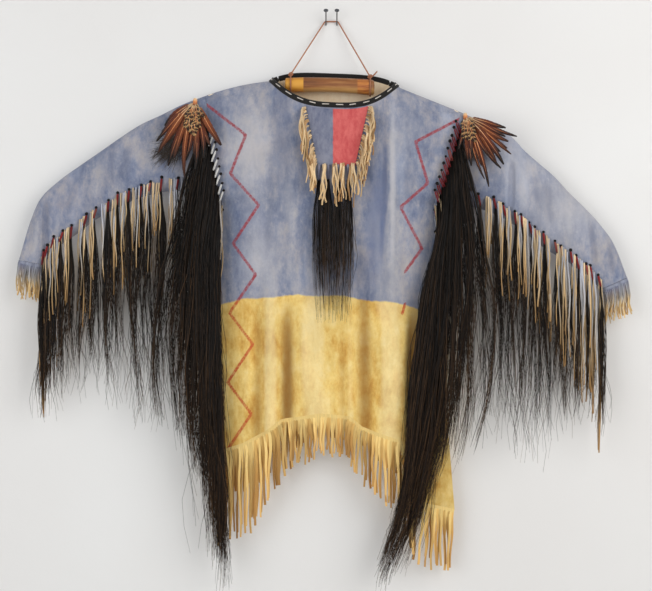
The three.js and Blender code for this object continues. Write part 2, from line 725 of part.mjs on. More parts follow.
// Long hair locks of one side. `from` and `to` are heights on the edge that they are laced to.
function sideLocks(side, { from, to, count, fill, hang, width, depth, y, ends }) {
  const outward = side === "left" ? -1 : 1;
  const height = (t) => lerp(from, to, t);
  const edge = (t, out) => {
    const p = sideEdge(side, height(t));
    return v3(p.x + outward * out, p.y - LACE / 2 - 2 * SEAM, p.z);
  };
  return comb({
    cells: count,
    fill,
    steps: 6,
    thick: LACE,
    strip: (t) => ({ held: edge(t, 0), free: edge(t, 4), out: v3(0, -1, 0) }),
    strand: (i, u) => {
      const t = (i + 0.5) / count;
      const s = u ** 1.6; // sections crowd towards the root, where the lock bends most
      const root = edge(t, 4);
      const end = lerp(ends[0], ends[1], t) + 40 * (chance(i, 5) - 0.5);
      const z = lerp(root.z, end, s);
      const row = rowAt(hang, "z", z);
      const x = lerp(root.x, lerp(row.outer, row.inner, t), smooth(s * 4));
      const full = lerp(0.45, 1, smooth(s * 4)) * lerp(1, 0.25, smooth((s - 0.55) / 0.45));
      return {
        middle: v3(x, lerp(root.y, y, smooth(s * 14)), z),
        half: v3((-outward * width * full) / 2, 0, 0),
        deep: v3(0, (-depth * full) / 2, 0),
      };
    },
  });
}

// A fan of feathers from one quill knot. Angles are from straight down, towards +X.
function feathers({ apex, angles, lengths, width }) {
  const count = lengths.length;
  const knot = 12;
  const direction = (t) => {
    const a = lerp(angles[0], angles[1], t);
    return v3(Math.sin(a), 0, -Math.cos(a));
  };
  const lift = (r) => -40 * smooth(r / 55) - 0.05 * r;
  const at = (t, r) => apex.clone().addScaledVector(direction(t), r).add(v3(0, lift(r), 0));
  return comb({
    cells: count,
    fill: 0.7,
    steps: 3,
    thick: 3,
    strip: (t) => ({ held: at(t, 3), free: at(t, knot), out: v3(0, -1, 0) }),
    strand: (i, s) => {
      const t = (i + 0.5) / count;
      const widths = [0.1, 0.55, 1, 0.12];
      const across = v3(-direction(t).z, 0, direction(t).x);
      return {
        middle: at(t, lerp(knot, lengths[i], s)),
        half: across.multiplyScalar((width * widths[Math.round(3 * s)]) / 2),
        deep: v3(0, lerp(-1.3, -0.5, s), 0),
      };
    },
  });
}

// Hide strands along one slanted side of the bib.
function bibSideFringe(across, toX) {
  const count = 8;
  const outward = Math.sign(across - 0.5);
  const edge = (t, out) =>
    bibPoint(across, lerp(0.02, 0.98, t), STAND_OFF + HIDE / 2).add(v3(outward * out, 0, 0));
  return comb({
    cells: count,
    fill: 0.6,
    steps: 2,
    thick: HIDE,
    strip: (t) => ({ held: edge(t, SEAM), free: edge(t, 5), out: v3(0, -1, 0) }),
    strand: (i, s) => {
      const t = (i + 0.5) / count;
      const root = edge(t, 5);
      const forward = 4 + 8 * smooth(3 * s) + 4 * (1 - t);
      return {
        middle: root.add(v3(outward * lerp(toX, 3, t) * s, -forward, -lerp(52, 84, t) * s)),
        half: v3((-outward * lerp(5, 4, s)) / 2, 0, lerp(-2, 0, s)),
        deep: v3(0, -HIDE / 2, 0),
      };
    },
  });
}

// What hangs from the bib's lower edge: hide strands, or hair locks behind them.
function bibHem({ count, fill, lift, strip: height, steps, shape }) {
  const edge = (t) => bibPoint(lerp(0.04, 0.96, t), 1, lift).add(v3(0, 0, -SEAM));
  return comb({
    cells: count,
    fill,
    steps,
    thick: 2,
    strip: (t) => ({ held: edge(t), free: edge(t).add(v3(0, 0, -height)), out: v3(0, -1, 0) }),
    strand: (i, s) => {
      const root = edge((i + 0.5) / count).add(v3(0, 0, -height));
      return falling({ root, ...shape(i) }, s);
    },
  });
}

// ---------------------------------------------------------------- rod, thong and pins

// Height of the rod's axis at x. It bows up a little.
function rodZ(x) {
  const t = (x - ROD.left) / (ROD.right - ROD.left);
  return lerp(ROD.leftZ, ROD.rightZ, t) + 4 * Math.sin(Math.PI * t);
}

// The rod's radius, as a share of its greatest, along its length.
const ROD_PROFILE = [
  { share: 0, along: 0 },
  { share: 0.72, along: 0 },
  { share: 0.94, along: 0.012 },
  { share: 0.96, along: 0.05 },
  { share: 0.95, along: 0.3 },
  { share: 0.94, along: 0.55 },
  { share: 0.98, along: 0.8 },
  { share: 1.03, along: 0.93 },
  { share: 1, along: 0.985 },
  { share: 0.75, along: 1 },
  { share: 0, along: 1 },
];

// A short bowed rod, a little thicker at its right end, with rounded rims.
function rod() {
  const length = ROD.right - ROD.left;
  const scaled = ({ share, along }) => new THREE.Vector2(share * ROD.radius, along * length);
  const points = ROD_PROFILE.map(scaled);
  const geometry = new THREE.LatheGeometry(points, 16).rotateZ(-Math.PI / 2).translate(ROD.left, 0, 0);
  const position = geometry.attributes.position;
  for (let i = 0; i < position.count; i += 1) {
    position.setY(i, position.getY(i) + ROD.y);
    position.setZ(i, position.getZ(i) + rodZ(position.getX(i)));
  }
  return geometryOf(solidOf(geometry));
}

// A round cord through a row of points, closed by flat ends or joined to its own start.
function rope(points, radius, sides, loop = false) {
  const count = points.length;
  const at = (i) => (loop ? points[(i + count) % count] : points[clamp(i, 0, count - 1)]);
  const rings = points.map((p, i) => {
    const along = at(i + 1).clone().sub(at(i - 1)).normalize();
    const level = v3(along.y, -along.x, 0);
    const side = (level.lengthSq() > 0.05 ? level : v3(0, along.z, -along.y)).normalize();
    const up = side.clone().cross(along);
    return Array.from({ length: sides }, (_, k) => {
      const a = (2 * Math.PI * k) / sides;
      const [c, d] = [radius * Math.cos(a), radius * Math.sin(a)];
      return p.clone().addScaledVector(side, c).addScaledVector(up, d);
    });
  });
  const index = [];
  for (let i = 0; i < (loop ? count : count - 1); i += 1) {
    for (let k = 0; k < sides; k += 1) {
      const [a, b] = [i * sides + k, i * sides + ((k + 1) % sides)];
      const [c, d] = [a, b].map((n) => (n + sides) % (count * sides));
      index.push(a, b, d, a, d, c);
    }
  }
  if (!loop) {
    for (let k = 1; k < sides - 1; k += 1) {
      const last = (count - 1) * sides;
      index.push(0, k + 1, k, last, last + k, last + k + 1);
    }
  }
  return facingOut(new Float32Array(rings.flat().flatMap((p) => [p.x, p.y, p.z])), index);
}

// The thong's turn round the rod, over the neck's back edge and back through a hole in the hide.
function rodLoop(x) {
  const reach = ROD.radius * 1.03 + THONG.radius + SEAM;
  const z = rodZ(x);
  const over = neckZ("back", x, 0) - z + BINDING.proud + THONG.radius + SEAM;
  const hideY = bodyY("back", x, z - HOLE_DROP) - ROD.y;
  const behind = hideY + BINDING.proud + THONG.radius + SEAM;
  const points = [
    [-reach, 0],
    [-reach * 0.8, reach * 0.62],
    [-reach * 0.4, reach * 0.95],
    [hideY - 10, Math.max(over, reach)],
    [hideY - 1, over + 1],
    [behind, over - 4],
    [behind + 1, over - 12],
    [behind + 0.5, -HOLE_DROP + 4],
    [behind - 1.5, -HOLE_DROP + 0.5],
    [hideY - 1, -HOLE_DROP],
    [hideY - 6, -HOLE_DROP - 1],
    [reach * 0.5, -reach * 0.9],
    [0, -reach],
    [-reach * 0.5, -reach * 0.87],
    [-reach * 0.87, -reach * 0.5],
  ].map(([y, dz]) => v3(x, ROD.y + y, z + dz));
  return rope(points, THONG.radius, 6, true);
}

// Where the thong's loop passes through the back hide.
const HOLE_DROP = 16;
const loopHole = (x) => v3(x, bodyY("back", x, rodZ(x) - HOLE_DROP), rodZ(x) - HOLE_DROP);

const loopX = (side) => (side < 0 ? THONG.leftX : THONG.rightX);
const knotAt = (side) => v3(loopX(side), ROD.y + 3, rodZ(loopX(side)) + ROD.radius + 8);

// Points of the thong round the top of one pin, from its outer side to its top.
function pinTurn(side) {
  const clear = PINS.radius + THONG.radius + SEAM;
  const along = v3(0, -Math.sin(PINS.tilt), Math.cos(PINS.tilt));
  const over = v3(0, Math.cos(PINS.tilt), Math.sin(PINS.tilt));
  const seat = v3(side * (PINS.apart / 2), 0, 0).addScaledVector(along, PINS.seat);
  return [57, 28, 0].map((angle) => {
    const a = THREE.MathUtils.degToRad(angle);
    const out = v3(side * clear * Math.sin(a), 0, 0);
    return seat.clone().addScaledVector(over, clear * Math.cos(a)).add(out);
  });
}

function hangCord() {
  const lead = rope([knotAt(-1), ...pinTurn(-1), ...pinTurn(1).reverse(), knotAt(1)], THONG.radius, 6);
  const knots = [-1, 1].map((side) => {
    const p = knotAt(side);
    return new THREE.IcosahedronGeometry(6, 1).scale(1.1, 0.8, 0.9).translate(p.x, p.y, p.z);
  });
  const loops = [-1, 1].map((side) => rodLoop(loopX(side)));
  const tailEnds = [v3(0, 0, 0), v3(9, -3, 3), v3(17, -4, 12)];
  const tail = rope(tailEnds.map((p) => p.add(knotAt(1))), THONG.radius, 6);
  return joined([lead, ...knots, ...loops, tail]);
}

// A pin that leans up and out of the wall, cut off flush with the wall.
function pin() {
  const shaft = new THREE.CylinderGeometry(PINS.radius, PINS.radius, PINS.length + 4, 10);
  const head = new THREE.CylinderGeometry(PINS.head, PINS.head, PINS.headThick, 16);
  shaft.translate(0, PINS.length / 2 - 2, 0);
  head.translate(0, PINS.length, 0);
  const leaning = joined([shaft, head]).rotateX(Math.PI / 2 + PINS.tilt);
  const behindWall = new THREE.BoxGeometry(40, 40, 80).translate(0, 20, 0);
  return geometryOf(solidOf(leaning).subtract(solidOf(behindWall)));
}

// ---------------------------------------------------------------- the shirt

const shirt = new THREE.Group();

function place(name, geometry, colour, roughness = 0.9, metalness = 0) {
  const material = new THREE.MeshStandardMaterial({ color: colour, roughness, metalness });
  const mesh = new THREE.Mesh(geometry, material);
  mesh.name = name;
  shirt.add(mesh);
  return mesh;
}

const front = hideGrid("front", columnShares(11, 22));
const back = hideGrid("back", columnShares(7, 14));

place("front", hide(front), COLOURS.blueHide);
const holes = [-1, 1].map((side) => {
  const p = loopHole(loopX(side));
  return solidOf(new THREE.CylinderGeometry(THONG.hole, THONG.hole, 14, 8).translate(p.x, p.y, p.z));
});
place("back", geometryOf(holes.reduce((a, b) => a.subtract(b), solidOf(hide(back)))), COLOURS.blueHide);
place("sleeve_left", sleeve(SLEEVE_LEFT), COLOURS.blueHide);
place("sleeve_right", sleeve(SLEEVE_RIGHT), COLOURS.blueHide);
place("neck_binding", neckBinding(front, back), COLOURS.binding, 1);

place("bib", bib(), COLOURS.redHide);
place("bib_fringe_left", bibSideFringe(0, 12), COLOURS.rawHide);
place("bib_fringe_right", bibSideFringe(1, 12), COLOURS.rawHide);
place(
  "bib_fringe_bottom",
  bibHem({
    count: 7,
    fill: 0.5,
    lift: STAND_OFF + HIDE / 2,
    strip: 5,
    steps: 2,
    shape: (i) => ({ length: lerp(84, 100, chance(i, 6)), width: 6, depth: 2, toY: -6 }),
  }),
  COLOURS.rawHide,
);
place(
  "bib_locks",
  bibHem({
    count: 4,
    fill: 0.2,
    lift: STAND_OFF + HIDE / 2 + HIDE + SEAM,
    strip: 3,
    steps: 5,
    shape: (i) => ({
      length: lerp(330, 372, chance(i, 7)),
      width: 16,
      depth: 8,
      tip: 0.2,
      swell: 0.3,
      toY: -14,
    }),
  }),
  COLOURS.hair,
);

place("hem_fringe_front", hemFringe(front, FRONT_HEM, 2), COLOURS.yellowHide);
place("hem_fringe_back", hemFringe(back, BACK_HEM, 1), COLOURS.yellowHide);
place("cuff_fringe_left", cuffFringe(SLEEVE_LEFT), COLOURS.rawHide);
place("cuff_fringe_right", cuffFringe(SLEEVE_RIGHT), COLOURS.rawHide);

// Lengths of what hangs from a sleeve's lower edge, from the body (0) to the cuff (1).
const LEFT_LENGTHS = [
  { at: 0, lock: 560, thong: 210 },
  { at: 0.35, lock: 550, thong: 220 },
  { at: 0.5, lock: 460, thong: 215 },
  { at: 0.8, lock: 380, thong: 260 },
  { at: 1, lock: 400, thong: 350 },
];
const RIGHT_LENGTHS = [
  { at: 0, lock: 590, thong: 200 },
  { at: 0.4, lock: 560, thong: 210 },
  { at: 0.6, lock: 440, thong: 250 },
  { at: 0.85, lock: 350, thong: 310 },
  { at: 1, lock: 385, thong: 370 },
];
place("sleeve_fringe_left", sleeveFringe(SLEEVE_LEFT, LEFT_LENGTHS), COLOURS.rawHide);
place("sleeve_fringe_right", sleeveFringe(SLEEVE_RIGHT, RIGHT_LENGTHS), COLOURS.rawHide);
place("sleeve_locks_left", sleeveLocks(SLEEVE_LEFT, LEFT_LENGTHS, 14), COLOURS.hair);
place("sleeve_locks_right", sleeveLocks(SLEEVE_RIGHT, RIGHT_LENGTHS, 14), COLOURS.hair);

const SIDE_ROWS = {
  side_locks_left: {
    side: "left",
    hang: SIDE_HAIR.left,
    from: -196,
    to: -420,
    count: 12,
    fill: 0.36,
    width: 7,
    depth: 15,
    y: -78,
    ends: [-1180, -1290],
  },
  side_locks_right: {
    side: "right",
    hang: SIDE_HAIR.right,
    from: -236,
    to: -420,
    count: 12,
    fill: 0.36,
    width: 7.4,
    depth: 13,
    y: -79,
    ends: [-1050, -1290],
  },
  side_locks_low_left: {
    side: "left",
    hang: SIDE_HAIR.lowLeft,
    from: -450,
    to: -760,
    count: 3,
    fill: 0.1,
    width: 5,
    depth: 8,
    y: -59,
    ends: [-1240, -1300],
  },
  side_locks_low_right: {
    side: "right",
    hang: SIDE_HAIR.lowRight,
    from: -450,
    to: -760,
    count: 3,
    fill: 0.1,
    width: 5,
    depth: 8,
    y: -57,
    ends: [-1270, -1310],
  },
};
for (const [name, { side, ...row }] of Object.entries(SIDE_ROWS)) {
  place(name, sideLocks(side, row), COLOURS.hair);
}

const degrees = (list) => list.map((a) => THREE.MathUtils.degToRad(a));
place(
  "feathers_left",
  feathers({
    apex: v3(-320, -46.6, -187),
    angles: degrees([-62, 40]),
    lengths: [96, 128, 158, 184, 172, 150, 162, 132, 118],
    width: 17,
  }),
  COLOURS.feather,
);
place(
  "feathers_right",
  feathers({
    apex: v3(314, -47.2, -222),
    angles: degrees([-4, 86]),
    lengths: [96, 120, 152, 180, 176, 142, 150, 92],
    width: 15,
  }),
  COLOURS.feather,
);

place("rod", rod(), COLOURS.wood, 0.6);
place("hang_cord", hangCord(), COLOURS.thong, 0.7);
place("pin_left", pin(), COLOURS.steel, 0.35, 0.9).position.set(-PINS.apart / 2, 0, 0);
place("pin_right", pin(), COLOURS.steel, 0.35, 0.9).position.set(PINS.apart / 2, 0, 0);

export default shirt;
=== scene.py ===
"""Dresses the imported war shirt: painted hide, cut fringe, hair locks, feathers, binding, rod and thong.

Tables are in millimetres, in the frame's axes: +X is the viewer's right, +Y points into the wall,
+Z is up. Meshes are made in metres.
"""

from __future__ import annotations

import logging
import math
from dataclasses import dataclass
from enum import Enum

import bpy
import numpy as np
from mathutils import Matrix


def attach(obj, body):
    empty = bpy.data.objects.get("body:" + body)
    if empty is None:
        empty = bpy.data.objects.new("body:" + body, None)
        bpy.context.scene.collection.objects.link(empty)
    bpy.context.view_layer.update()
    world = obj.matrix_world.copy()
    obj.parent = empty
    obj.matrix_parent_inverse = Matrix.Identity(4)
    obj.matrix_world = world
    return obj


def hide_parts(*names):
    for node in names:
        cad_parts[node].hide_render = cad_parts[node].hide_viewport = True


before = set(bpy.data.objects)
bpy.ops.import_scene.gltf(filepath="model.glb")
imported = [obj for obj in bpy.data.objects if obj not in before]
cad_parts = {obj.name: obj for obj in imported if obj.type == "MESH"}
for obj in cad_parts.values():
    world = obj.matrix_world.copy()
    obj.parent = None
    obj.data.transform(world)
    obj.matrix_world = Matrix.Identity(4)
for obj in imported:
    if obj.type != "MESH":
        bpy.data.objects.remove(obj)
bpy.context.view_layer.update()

LOG = logging.getLogger("war_shirt")
MM = 0.001
BODY_NAME = "root"

Points = np.ndarray
Colour = tuple[int, int, int]

# ---------------------------------------------------------------- small sums


def smooth(t: Points) -> Points:
    """Eases from 0 to 1 over t from 0 to 1."""
    t = np.clip(t, 0.0, 1.0)
    return t * t * (3.0 - 2.0 * t)


def lerp(a: Points, b: Points, t: Points) -> Points:
    """Goes from a to b as t goes from 0 to 1."""
    return a + (b - a) * t


def arc(t: Points) -> Points:
    """A quarter ellipse: 0 at 0, upright there, and 1 from 1 on."""
    return np.sqrt(1.0 - (1.0 - np.clip(t, 0.0, 1.0)) ** 2)


def half_round(s: Points) -> Points:
    """A half circle over s from 0 to 1."""
    return np.sqrt(np.maximum(0.0, 1.0 - (1.0 - 2.0 * s) ** 2))


def unit(v: Points) -> Points:
    """Vectors of length 1 along the last axis."""
    return v / np.maximum(np.linalg.norm(v, axis=-1, keepdims=True), 1e-9)


def stacked(*parts: Points) -> Points:
    """Points from three arrays of coordinates that broadcast together."""
    return np.stack(np.broadcast_arrays(*parts), axis=-1).astype(float)


def linear(colour: Colour) -> tuple[float, float, float, float]:
    """A screen colour as the linear one that shaders take."""
    c = np.array(colour) / 255.0
    c = np.where(c <= 0.04045, c / 12.92, ((c + 0.055) / 1.055) ** 2.4)
    return (float(c[0]), float(c[1]), float(c[2]), 1.0)


def ripple(x: Points, z: Points, seed: int, length: float, height: float) -> Points:
    """Soft uneven swells.

    Args:
        x: Coordinates across.
        z: Coordinates down.
        seed: Picks the pattern.
        length: Typical distance from swell to swell.
        height: Typical height of a swell.

    Returns:
        The height at each point.
    """
    rng = np.random.default_rng(seed)
    total = np.zeros(np.broadcast(x, z).shape)
    for _ in range(6):
        heading = rng.uniform(0.0, math.pi)
        wave = 2.0 * math.pi / (length * rng.uniform(0.7, 1.6))
        along = x * math.cos(heading) + 0.55 * z * math.sin(heading)
        total = total + np.sin(wave * along + rng.uniform(0.0, 2.0 * math.pi))
    return height * total / 2.4


# ---------------------------------------------------------------- the body's shape


class Face(Enum):
    """Which hide of the body, and the way it faces along Y."""

    FRONT = -1
    BACK = 1


# x, z, length of the fringe
FRONT_HEM = np.array([
    (-276, -1013, 212), (-210, -992, 212), (-154, -963, 180), (-116, -935, 120),
    (-20, -920, 94), (53, -927, 96), (81, -952, 125), (124, -968, 162),
    (174, -984, 145), (198, -1090, 150), (220, -1132, 142), (290, -1148, 158),
], dtype=float)
BACK_HEM = np.array([
    (-276, -995, 150), (-150, -945, 120), (-60, -903, 85),
    (70, -903, 85), (160, -945, 120), (290, -1010, 160),
], dtype=float)

# x, half width, rise towards the viewer, height it starts from
FRONT_FOLDS = (
    (-173, 14, -7, -560), (-144, 17, 9, -480), (-104, 15, -13, -560), (-36, 38, 7, -420),
    (24, 9, -5, -600), (44, 12, 5, -560), (78, 18, -10, -500), (133, 30, 9, -330),
)
BACK_FOLDS = ((-150, 30, 5, -380), (-10, 34, 6, -420), (150, 32, 5, -380))

# Creases as soft troughs and ridges: x and z of both ends, half width, rise
FRONT_CREASES = (
    (124, -230, 120, -640, 8, -4.4), (141, -220, 141, -630, 10, 3.6), (100, -260, 88, -560, 12, 1.6),
    (-172, -250, -182, -640, 22, 2.2), (-140, -230, -150, -640, 12, -2.4), (-96, -330, -92, -700, 16, 2.0),
    (-62, -380, -66, -700, 12, -1.8), (44, -470, 40, -700, 14, 1.8), (66, -480, 70, -720, 10, -2.0),
    (170, -250, 196, -560, 18, -2.2), (-8, -620, -12, -900, 13, -3.4), (-60, -640, -64, -920, 10, 3.0),
    (108, -640, 112, -930, 10, -4.0), (150, -700, 152, -960, 9, 2.5), (-196, -640, -200, -980, 12, 4.0),
    (-236, -560, -240, -1000, 12, -3.0), (-128, -250, -60, -232, 9, -1.6), (92, -228, 160, -262, 10, -1.6),
)
BACK_CREASES = (
    (-170, -260, -182, -900, 18, 2.4), (-90, -300, -84, -880, 14, -2.4), (-40, -420, -36, -860, 16, 2.2),
    (44, -360, 52, -870, 16, -2.6), (96, -300, 104, -900, 14, 2.4), (176, -280, 190, -940, 18, -2.2),
    (-120, -210, 40, -260, 16, -2.0), (20, -236, 150, -214, 14, -1.8),
)


def crease_rise(creases: tuple[tuple[float, ...], ...], x: Points, z: Points) -> Points:
    """Sums creases over points.

    Args:
        creases: Rows of x and z of both ends, half width and rise.
        x: Coordinates across.
        z: Heights.

    Returns:
        The rise at each point.
    """
    total = np.zeros(np.broadcast(x, z).shape)
    for x0, z0, x1, z1, width, rise in creases:
        dx, dz = x1 - x0, z1 - z0
        size = math.hypot(dx, dz)
        along = ((x - x0) * dx + (z - z0) * dz) / size
        off = ((x - x0) * dz - (z - z0) * dx) / size
        wander = 0.25 * width * np.sin(along / 47.0 + x0)
        ends = smooth(along / (0.35 * size)) * smooth((size - along) / (0.3 * size))
        total = total + rise * ends * np.exp(-(((off + wander) / width) ** 2))
    return total


# Where the blue is painted lighter (above 0) or darker (below 0): patches of uneven tone, painted shade and
# highlight beside creases near the flap, and painted light on the right sleeve. Columns: x, z, half width
# and height, amount
BLUE_PATCHES_AND_PAINTED_LIGHT = (
    (-190, -300, 60, 130, 0.7), (-170, -560, 60, 100, 0.6), (-30, -470, 60, 110, -0.25),
    (-68, -300, 15, 150, -0.55), (106, -470, 26, 140, -0.95),
    (176, -270, 46, 80, 0.35), (142, -430, 9, 220, 0.85), (126, -330, 7, 140, -0.6),
    (60, -600, 34, 80, -0.25), (-90, -420, 30, 150, 0.25),
    (200, -470, 40, 70, -0.2), (-245, -470, 30, 90, -0.35), (560, -440, 130, 110, 0.6),
    (440, -330, 80, 60, 0.3),
    (-640, -450, 50, 110, -0.3), (-480, -330, 90, 60, 0.2), (-560, -420, 50, 50, -0.25),
    (-400, -360, 50, 40, -0.3),
)


def blue_patches_and_painted_light(x: Points, z: Points) -> Points:
    """How much lighter (above 0) or darker (below 0) the blue is painted at points, painted shade and
    highlight included.
    """
    total = np.zeros(np.broadcast(x, z).shape)
    for at_x, at_z, wide, high, amount in BLUE_PATCHES_AND_PAINTED_LIGHT:
        total = total + amount * np.exp(-(((x - at_x) / wide) ** 2) - ((z - at_z) / high) ** 2)
    return total


@dataclass(frozen=True)
class BodyShape:
    """Outline and depth of the hanging body."""

    mid_y: float = -36.0
    armpit_z: float = -428.0
    shoulder_left: tuple[float, float] = (-297.0, -174.0)
    shoulder_right: tuple[float, float] = (306.0, -213.0)
    front_depth: tuple[float, float] = (42.0, 33.0)
    back_depth: float = 27.0
    edge_depth: float = 26.0
    edge_open: float = 5.0
    roof: float = 110.0
    crown: float = 6.0
    neck_middle: float = 6.0
    neck_half: float = 142.0
    neck_dip: float = 51.0
    neck_rise: float = 26.0
    neck_roof: float = 100.0
    binding: float = 11.0
    grows_over: float = 260.0
    pleat: tuple[float, float, float, float] = (178.0, 9.0, 14.0, -560.0)
    side_z: tuple[float, ...] = (-1150, -1000, -700, -428)
    side_left: tuple[float, ...] = (-276, -275, -268, -254)
    side_right: tuple[float, ...] = (290, 278, 252, 241)

    def corner_line(self, x: Points) -> Points:
        """Height of the line through the neck's corners."""
        return lerp(-139.0, -150.0, (x + 136.0) / 284.0)

    def ridge_z(self, x: Points) -> Points:
        """Top of the body at x, with the neck roofed over."""
        x = np.asarray(x, dtype=float)
        hide_half = self.neck_half + self.binding
        t = np.abs((x - self.neck_middle) / hide_half)
        over = self.corner_line(x) + self.neck_roof * (1.0 - np.minimum(t, 1.0) ** 2.5)
        (lx, lz), (rx, rz) = self.shoulder_left, self.shoulder_right
        u = np.clip((x - lx) / (-136.0 - lx), 0.0, 1.0)
        left = lerp(lz, -139.0, u) + self.crown * 4.0 * u * (1.0 - u)
        right = lerp(rz, -150.0, (x - rx) / (148.0 - rx))
        return np.where(t < 1.0, over, np.where(x < self.neck_middle, left, right))

    def neck_z(self, face: Face, x: Points, below: float) -> Points:
        """Height of the neck's cut edge at x, for a cut made `below` the bare edge."""
        t = np.abs((x - self.neck_middle) / (self.neck_half + below))
        inside = np.minimum(t, 1.0)
        if face is Face.FRONT:
            cut = self.corner_line(x) - (self.neck_dip + below) * (1.0 - inside**2.8)
        else:
            cut = self.corner_line(x) + (self.neck_rise - below) * (1.0 - inside**4)
        return np.where(t >= 1.0, self.ridge_z(x), cut)

    def side_x(self, z: Points) -> tuple[Points, Points]:
        """The x of the left and right edge of the body at a height."""
        z = np.asarray(z, dtype=float)
        (lx, lz), (rx, rz) = self.shoulder_left, self.shoulder_right
        up_left = (z - self.armpit_z) / (lz - self.armpit_z)
        up_right = (z - self.armpit_z) / (rz - self.armpit_z)
        left = np.where(
            z > self.armpit_z, lerp(-254.0, lx, up_left), np.interp(z, self.side_z, self.side_left)
        )
        right = np.where(
            z > self.armpit_z, lerp(241.0, rx, up_right), np.interp(z, self.side_z, self.side_right)
        )
        return left, right

    def seam_depth(self, s: Points) -> Points:
        """Distance of the side edge from the middle plane, s from the shoulder to the armpit."""
        return np.maximum(self.edge_depth * half_round(s), self.edge_open * smooth(4.0 * s))

    def folds(self, table: tuple[tuple[float, ...], ...], x: Points, z: Points) -> Points:
        """Rise of the hanging folds at a point."""
        total = np.zeros(np.broadcast(x, z).shape)
        for fx, width, rise, start in table:
            total = total + rise * np.exp(-(((x - fx) / width) ** 2)) * smooth(
                (start - z) / self.grows_over
            )
        return total

    def pleat_fall(self, x: Points, z: Points) -> Points:
        """Share of the fall behind the pleat at the front's right edge."""
        px, width, _, start = self.pleat
        return smooth((start - z) / self.grows_over) * smooth((x - px) / (2.0 * width) + 0.5)

    def y(self, face: Face, x: Points, z: Points, creased: bool = False) -> Points:
        """Depth of a hide's outer face.

        Args:
            face: Front or back hide.
            x: Coordinates across.
            z: Heights.
            creased: Adds the small creases and swells to the main folds.

        Returns:
            The y at each point.
        """
        left, right = self.side_x(z)
        u = np.clip(2.0 * (x - left) / (right - left) - 1.0, -1.0, 1.0)
        shoulder = np.where(u < 0.0, self.shoulder_left[1], self.shoulder_right[1])
        edge = np.abs(u) ** 3
        s = np.clip((shoulder - z) / (shoulder - self.armpit_z), 0.0, 1.0)
        top = arc((self.ridge_z(x) - z) / self.roof)
        calm = 1.0 - edge
        if face is Face.FRONT:
            middle = lerp(self.front_depth[0], self.front_depth[1], smooth((-200.0 - z) / 500.0))
            depth = lerp(middle * top, self.seam_depth(s), edge)
            rise = self.folds(FRONT_FOLDS, x, z) - self.pleat[2] * self.pleat_fall(x, z)
            small = crease_rise(FRONT_CREASES, x, z) + ripple(x, z, 3, 120.0, 0.9)
        else:
            depth = lerp(self.back_depth * top, self.seam_depth(s), edge)
            rise = self.folds(BACK_FOLDS, x, z)
            small = crease_rise(BACK_CREASES, x, z) + ripple(x, z, 4, 130.0, 0.9)
        if creased:
            rise = rise + small * top
        return self.mid_y + face.value * (depth + calm * rise)

    def hide_points(self, face: Face, shares: Points, rows: Points) -> Points:
        """A grid over a hide.

        Args:
            face: Front or back hide.
            shares: Places across, from 0 to 1.
            rows: Places down, 0 to 1 above the armpit and 1 to 2 below it.

        Returns:
            Points of the outer face, rows by columns.
        """
        share, row = shares[None, :], rows[:, None]
        top_x = lerp(self.shoulder_left[0], self.shoulder_right[0], share)
        top_z = self.neck_z(face, top_x, self.binding)
        upper_x = lerp(top_x, lerp(-254.0, 241.0, share), np.minimum(row, 1.0))
        upper_z = lerp(top_z, self.armpit_z, np.minimum(row, 1.0))
        hem = FRONT_HEM if face is Face.FRONT else BACK_HEM
        hem_z = np.interp(lerp(-276.0, 290.0, share), hem[:, 0], hem[:, 1])
        lower_z = lerp(self.armpit_z, hem_z, np.maximum(row - 1.0, 0.0))
        left, right = self.side_x(lower_z)
        x = np.where(row > 1.0, lerp(left, right, share), upper_x)
        z = np.where(row > 1.0, lower_z, upper_z)
        y = self.y(face, x, z, creased=True)
        ridge = (row == 0.0) & (z >= self.ridge_z(top_x) - 1e-6)
        y = np.where(ridge, self.mid_y + 0.15 * face.value, y)
        return stacked(x, np.minimum(y, -0.3), z)


BODY = BodyShape()

# Columns of a sleeve's table: x and z of the top fold, x and z of the lower edge, half the depth
SLEEVE_LEFT = np.array([
    (-297, -174, -254, -428, 26), (-350, -194, -312, -404, 26), (-403, -220, -372, -399, 25),
    (-450, -242, -420, -406, 24), (-497, -272, -466, -420, 23), (-544, -305, -509, -440, 22),
    (-592, -338, -556, -466, 21), (-638, -371, -598, -498, 21), (-684, -414, -640, -527, 20),
    (-710, -470, -662, -549, 18), (-737, -560, -678, -573, 16),
], dtype=float)
SLEEVE_RIGHT = np.array([
    (306, -213, 241, -428, 26), (362, -238, 318, -433, 26), (419, -266, 383, -452, 25),
    (455, -303, 425, -475, 24), (490, -334, 455, -495, 23), (525, -364, 484, -520, 22),
    (560, -402, 520, -544, 21), (596, -437, 552, -562, 21), (631, -475, 584, -584, 20),
    (666, -524, 608, -602, 18), (697, -602, 634, -630, 16),
], dtype=float)

# Creases of the sleeves, front face: x and z of both ends, half width, rise
LEFT_CREASES = (
    (-668, -400, -676, -585, 7, -7.0), (-690, -440, -700, -585, 9, 3.0), (-590, -330, -630, -470, 16, -2.6),
    (-540, -300, -560, -440, 18, 2.4), (-470, -262, -500, -400, 18, -2.4),
    (-400, -230, -430, -390, 20, 2.2),
    (-340, -200, -350, -390, 14, -2.6), (-620, -380, -650, -520, 10, 2.0),
)
RIGHT_CREASES = (
    (426, -310, 418, -470, 8, -6.0), (446, -330, 446, -470, 12, 3.0), (500, -350, 520, -500, 14, -2.4),
    (548, -400, 566, -560, 12, 2.6), (604, -450, 622, -600, 9, -3.6), (372, -270, 352, -420, 16, 2.2),
    (650, -500, 664, -610, 8, -3.0), (476, -330, 484, -470, 10, -1.8),
)


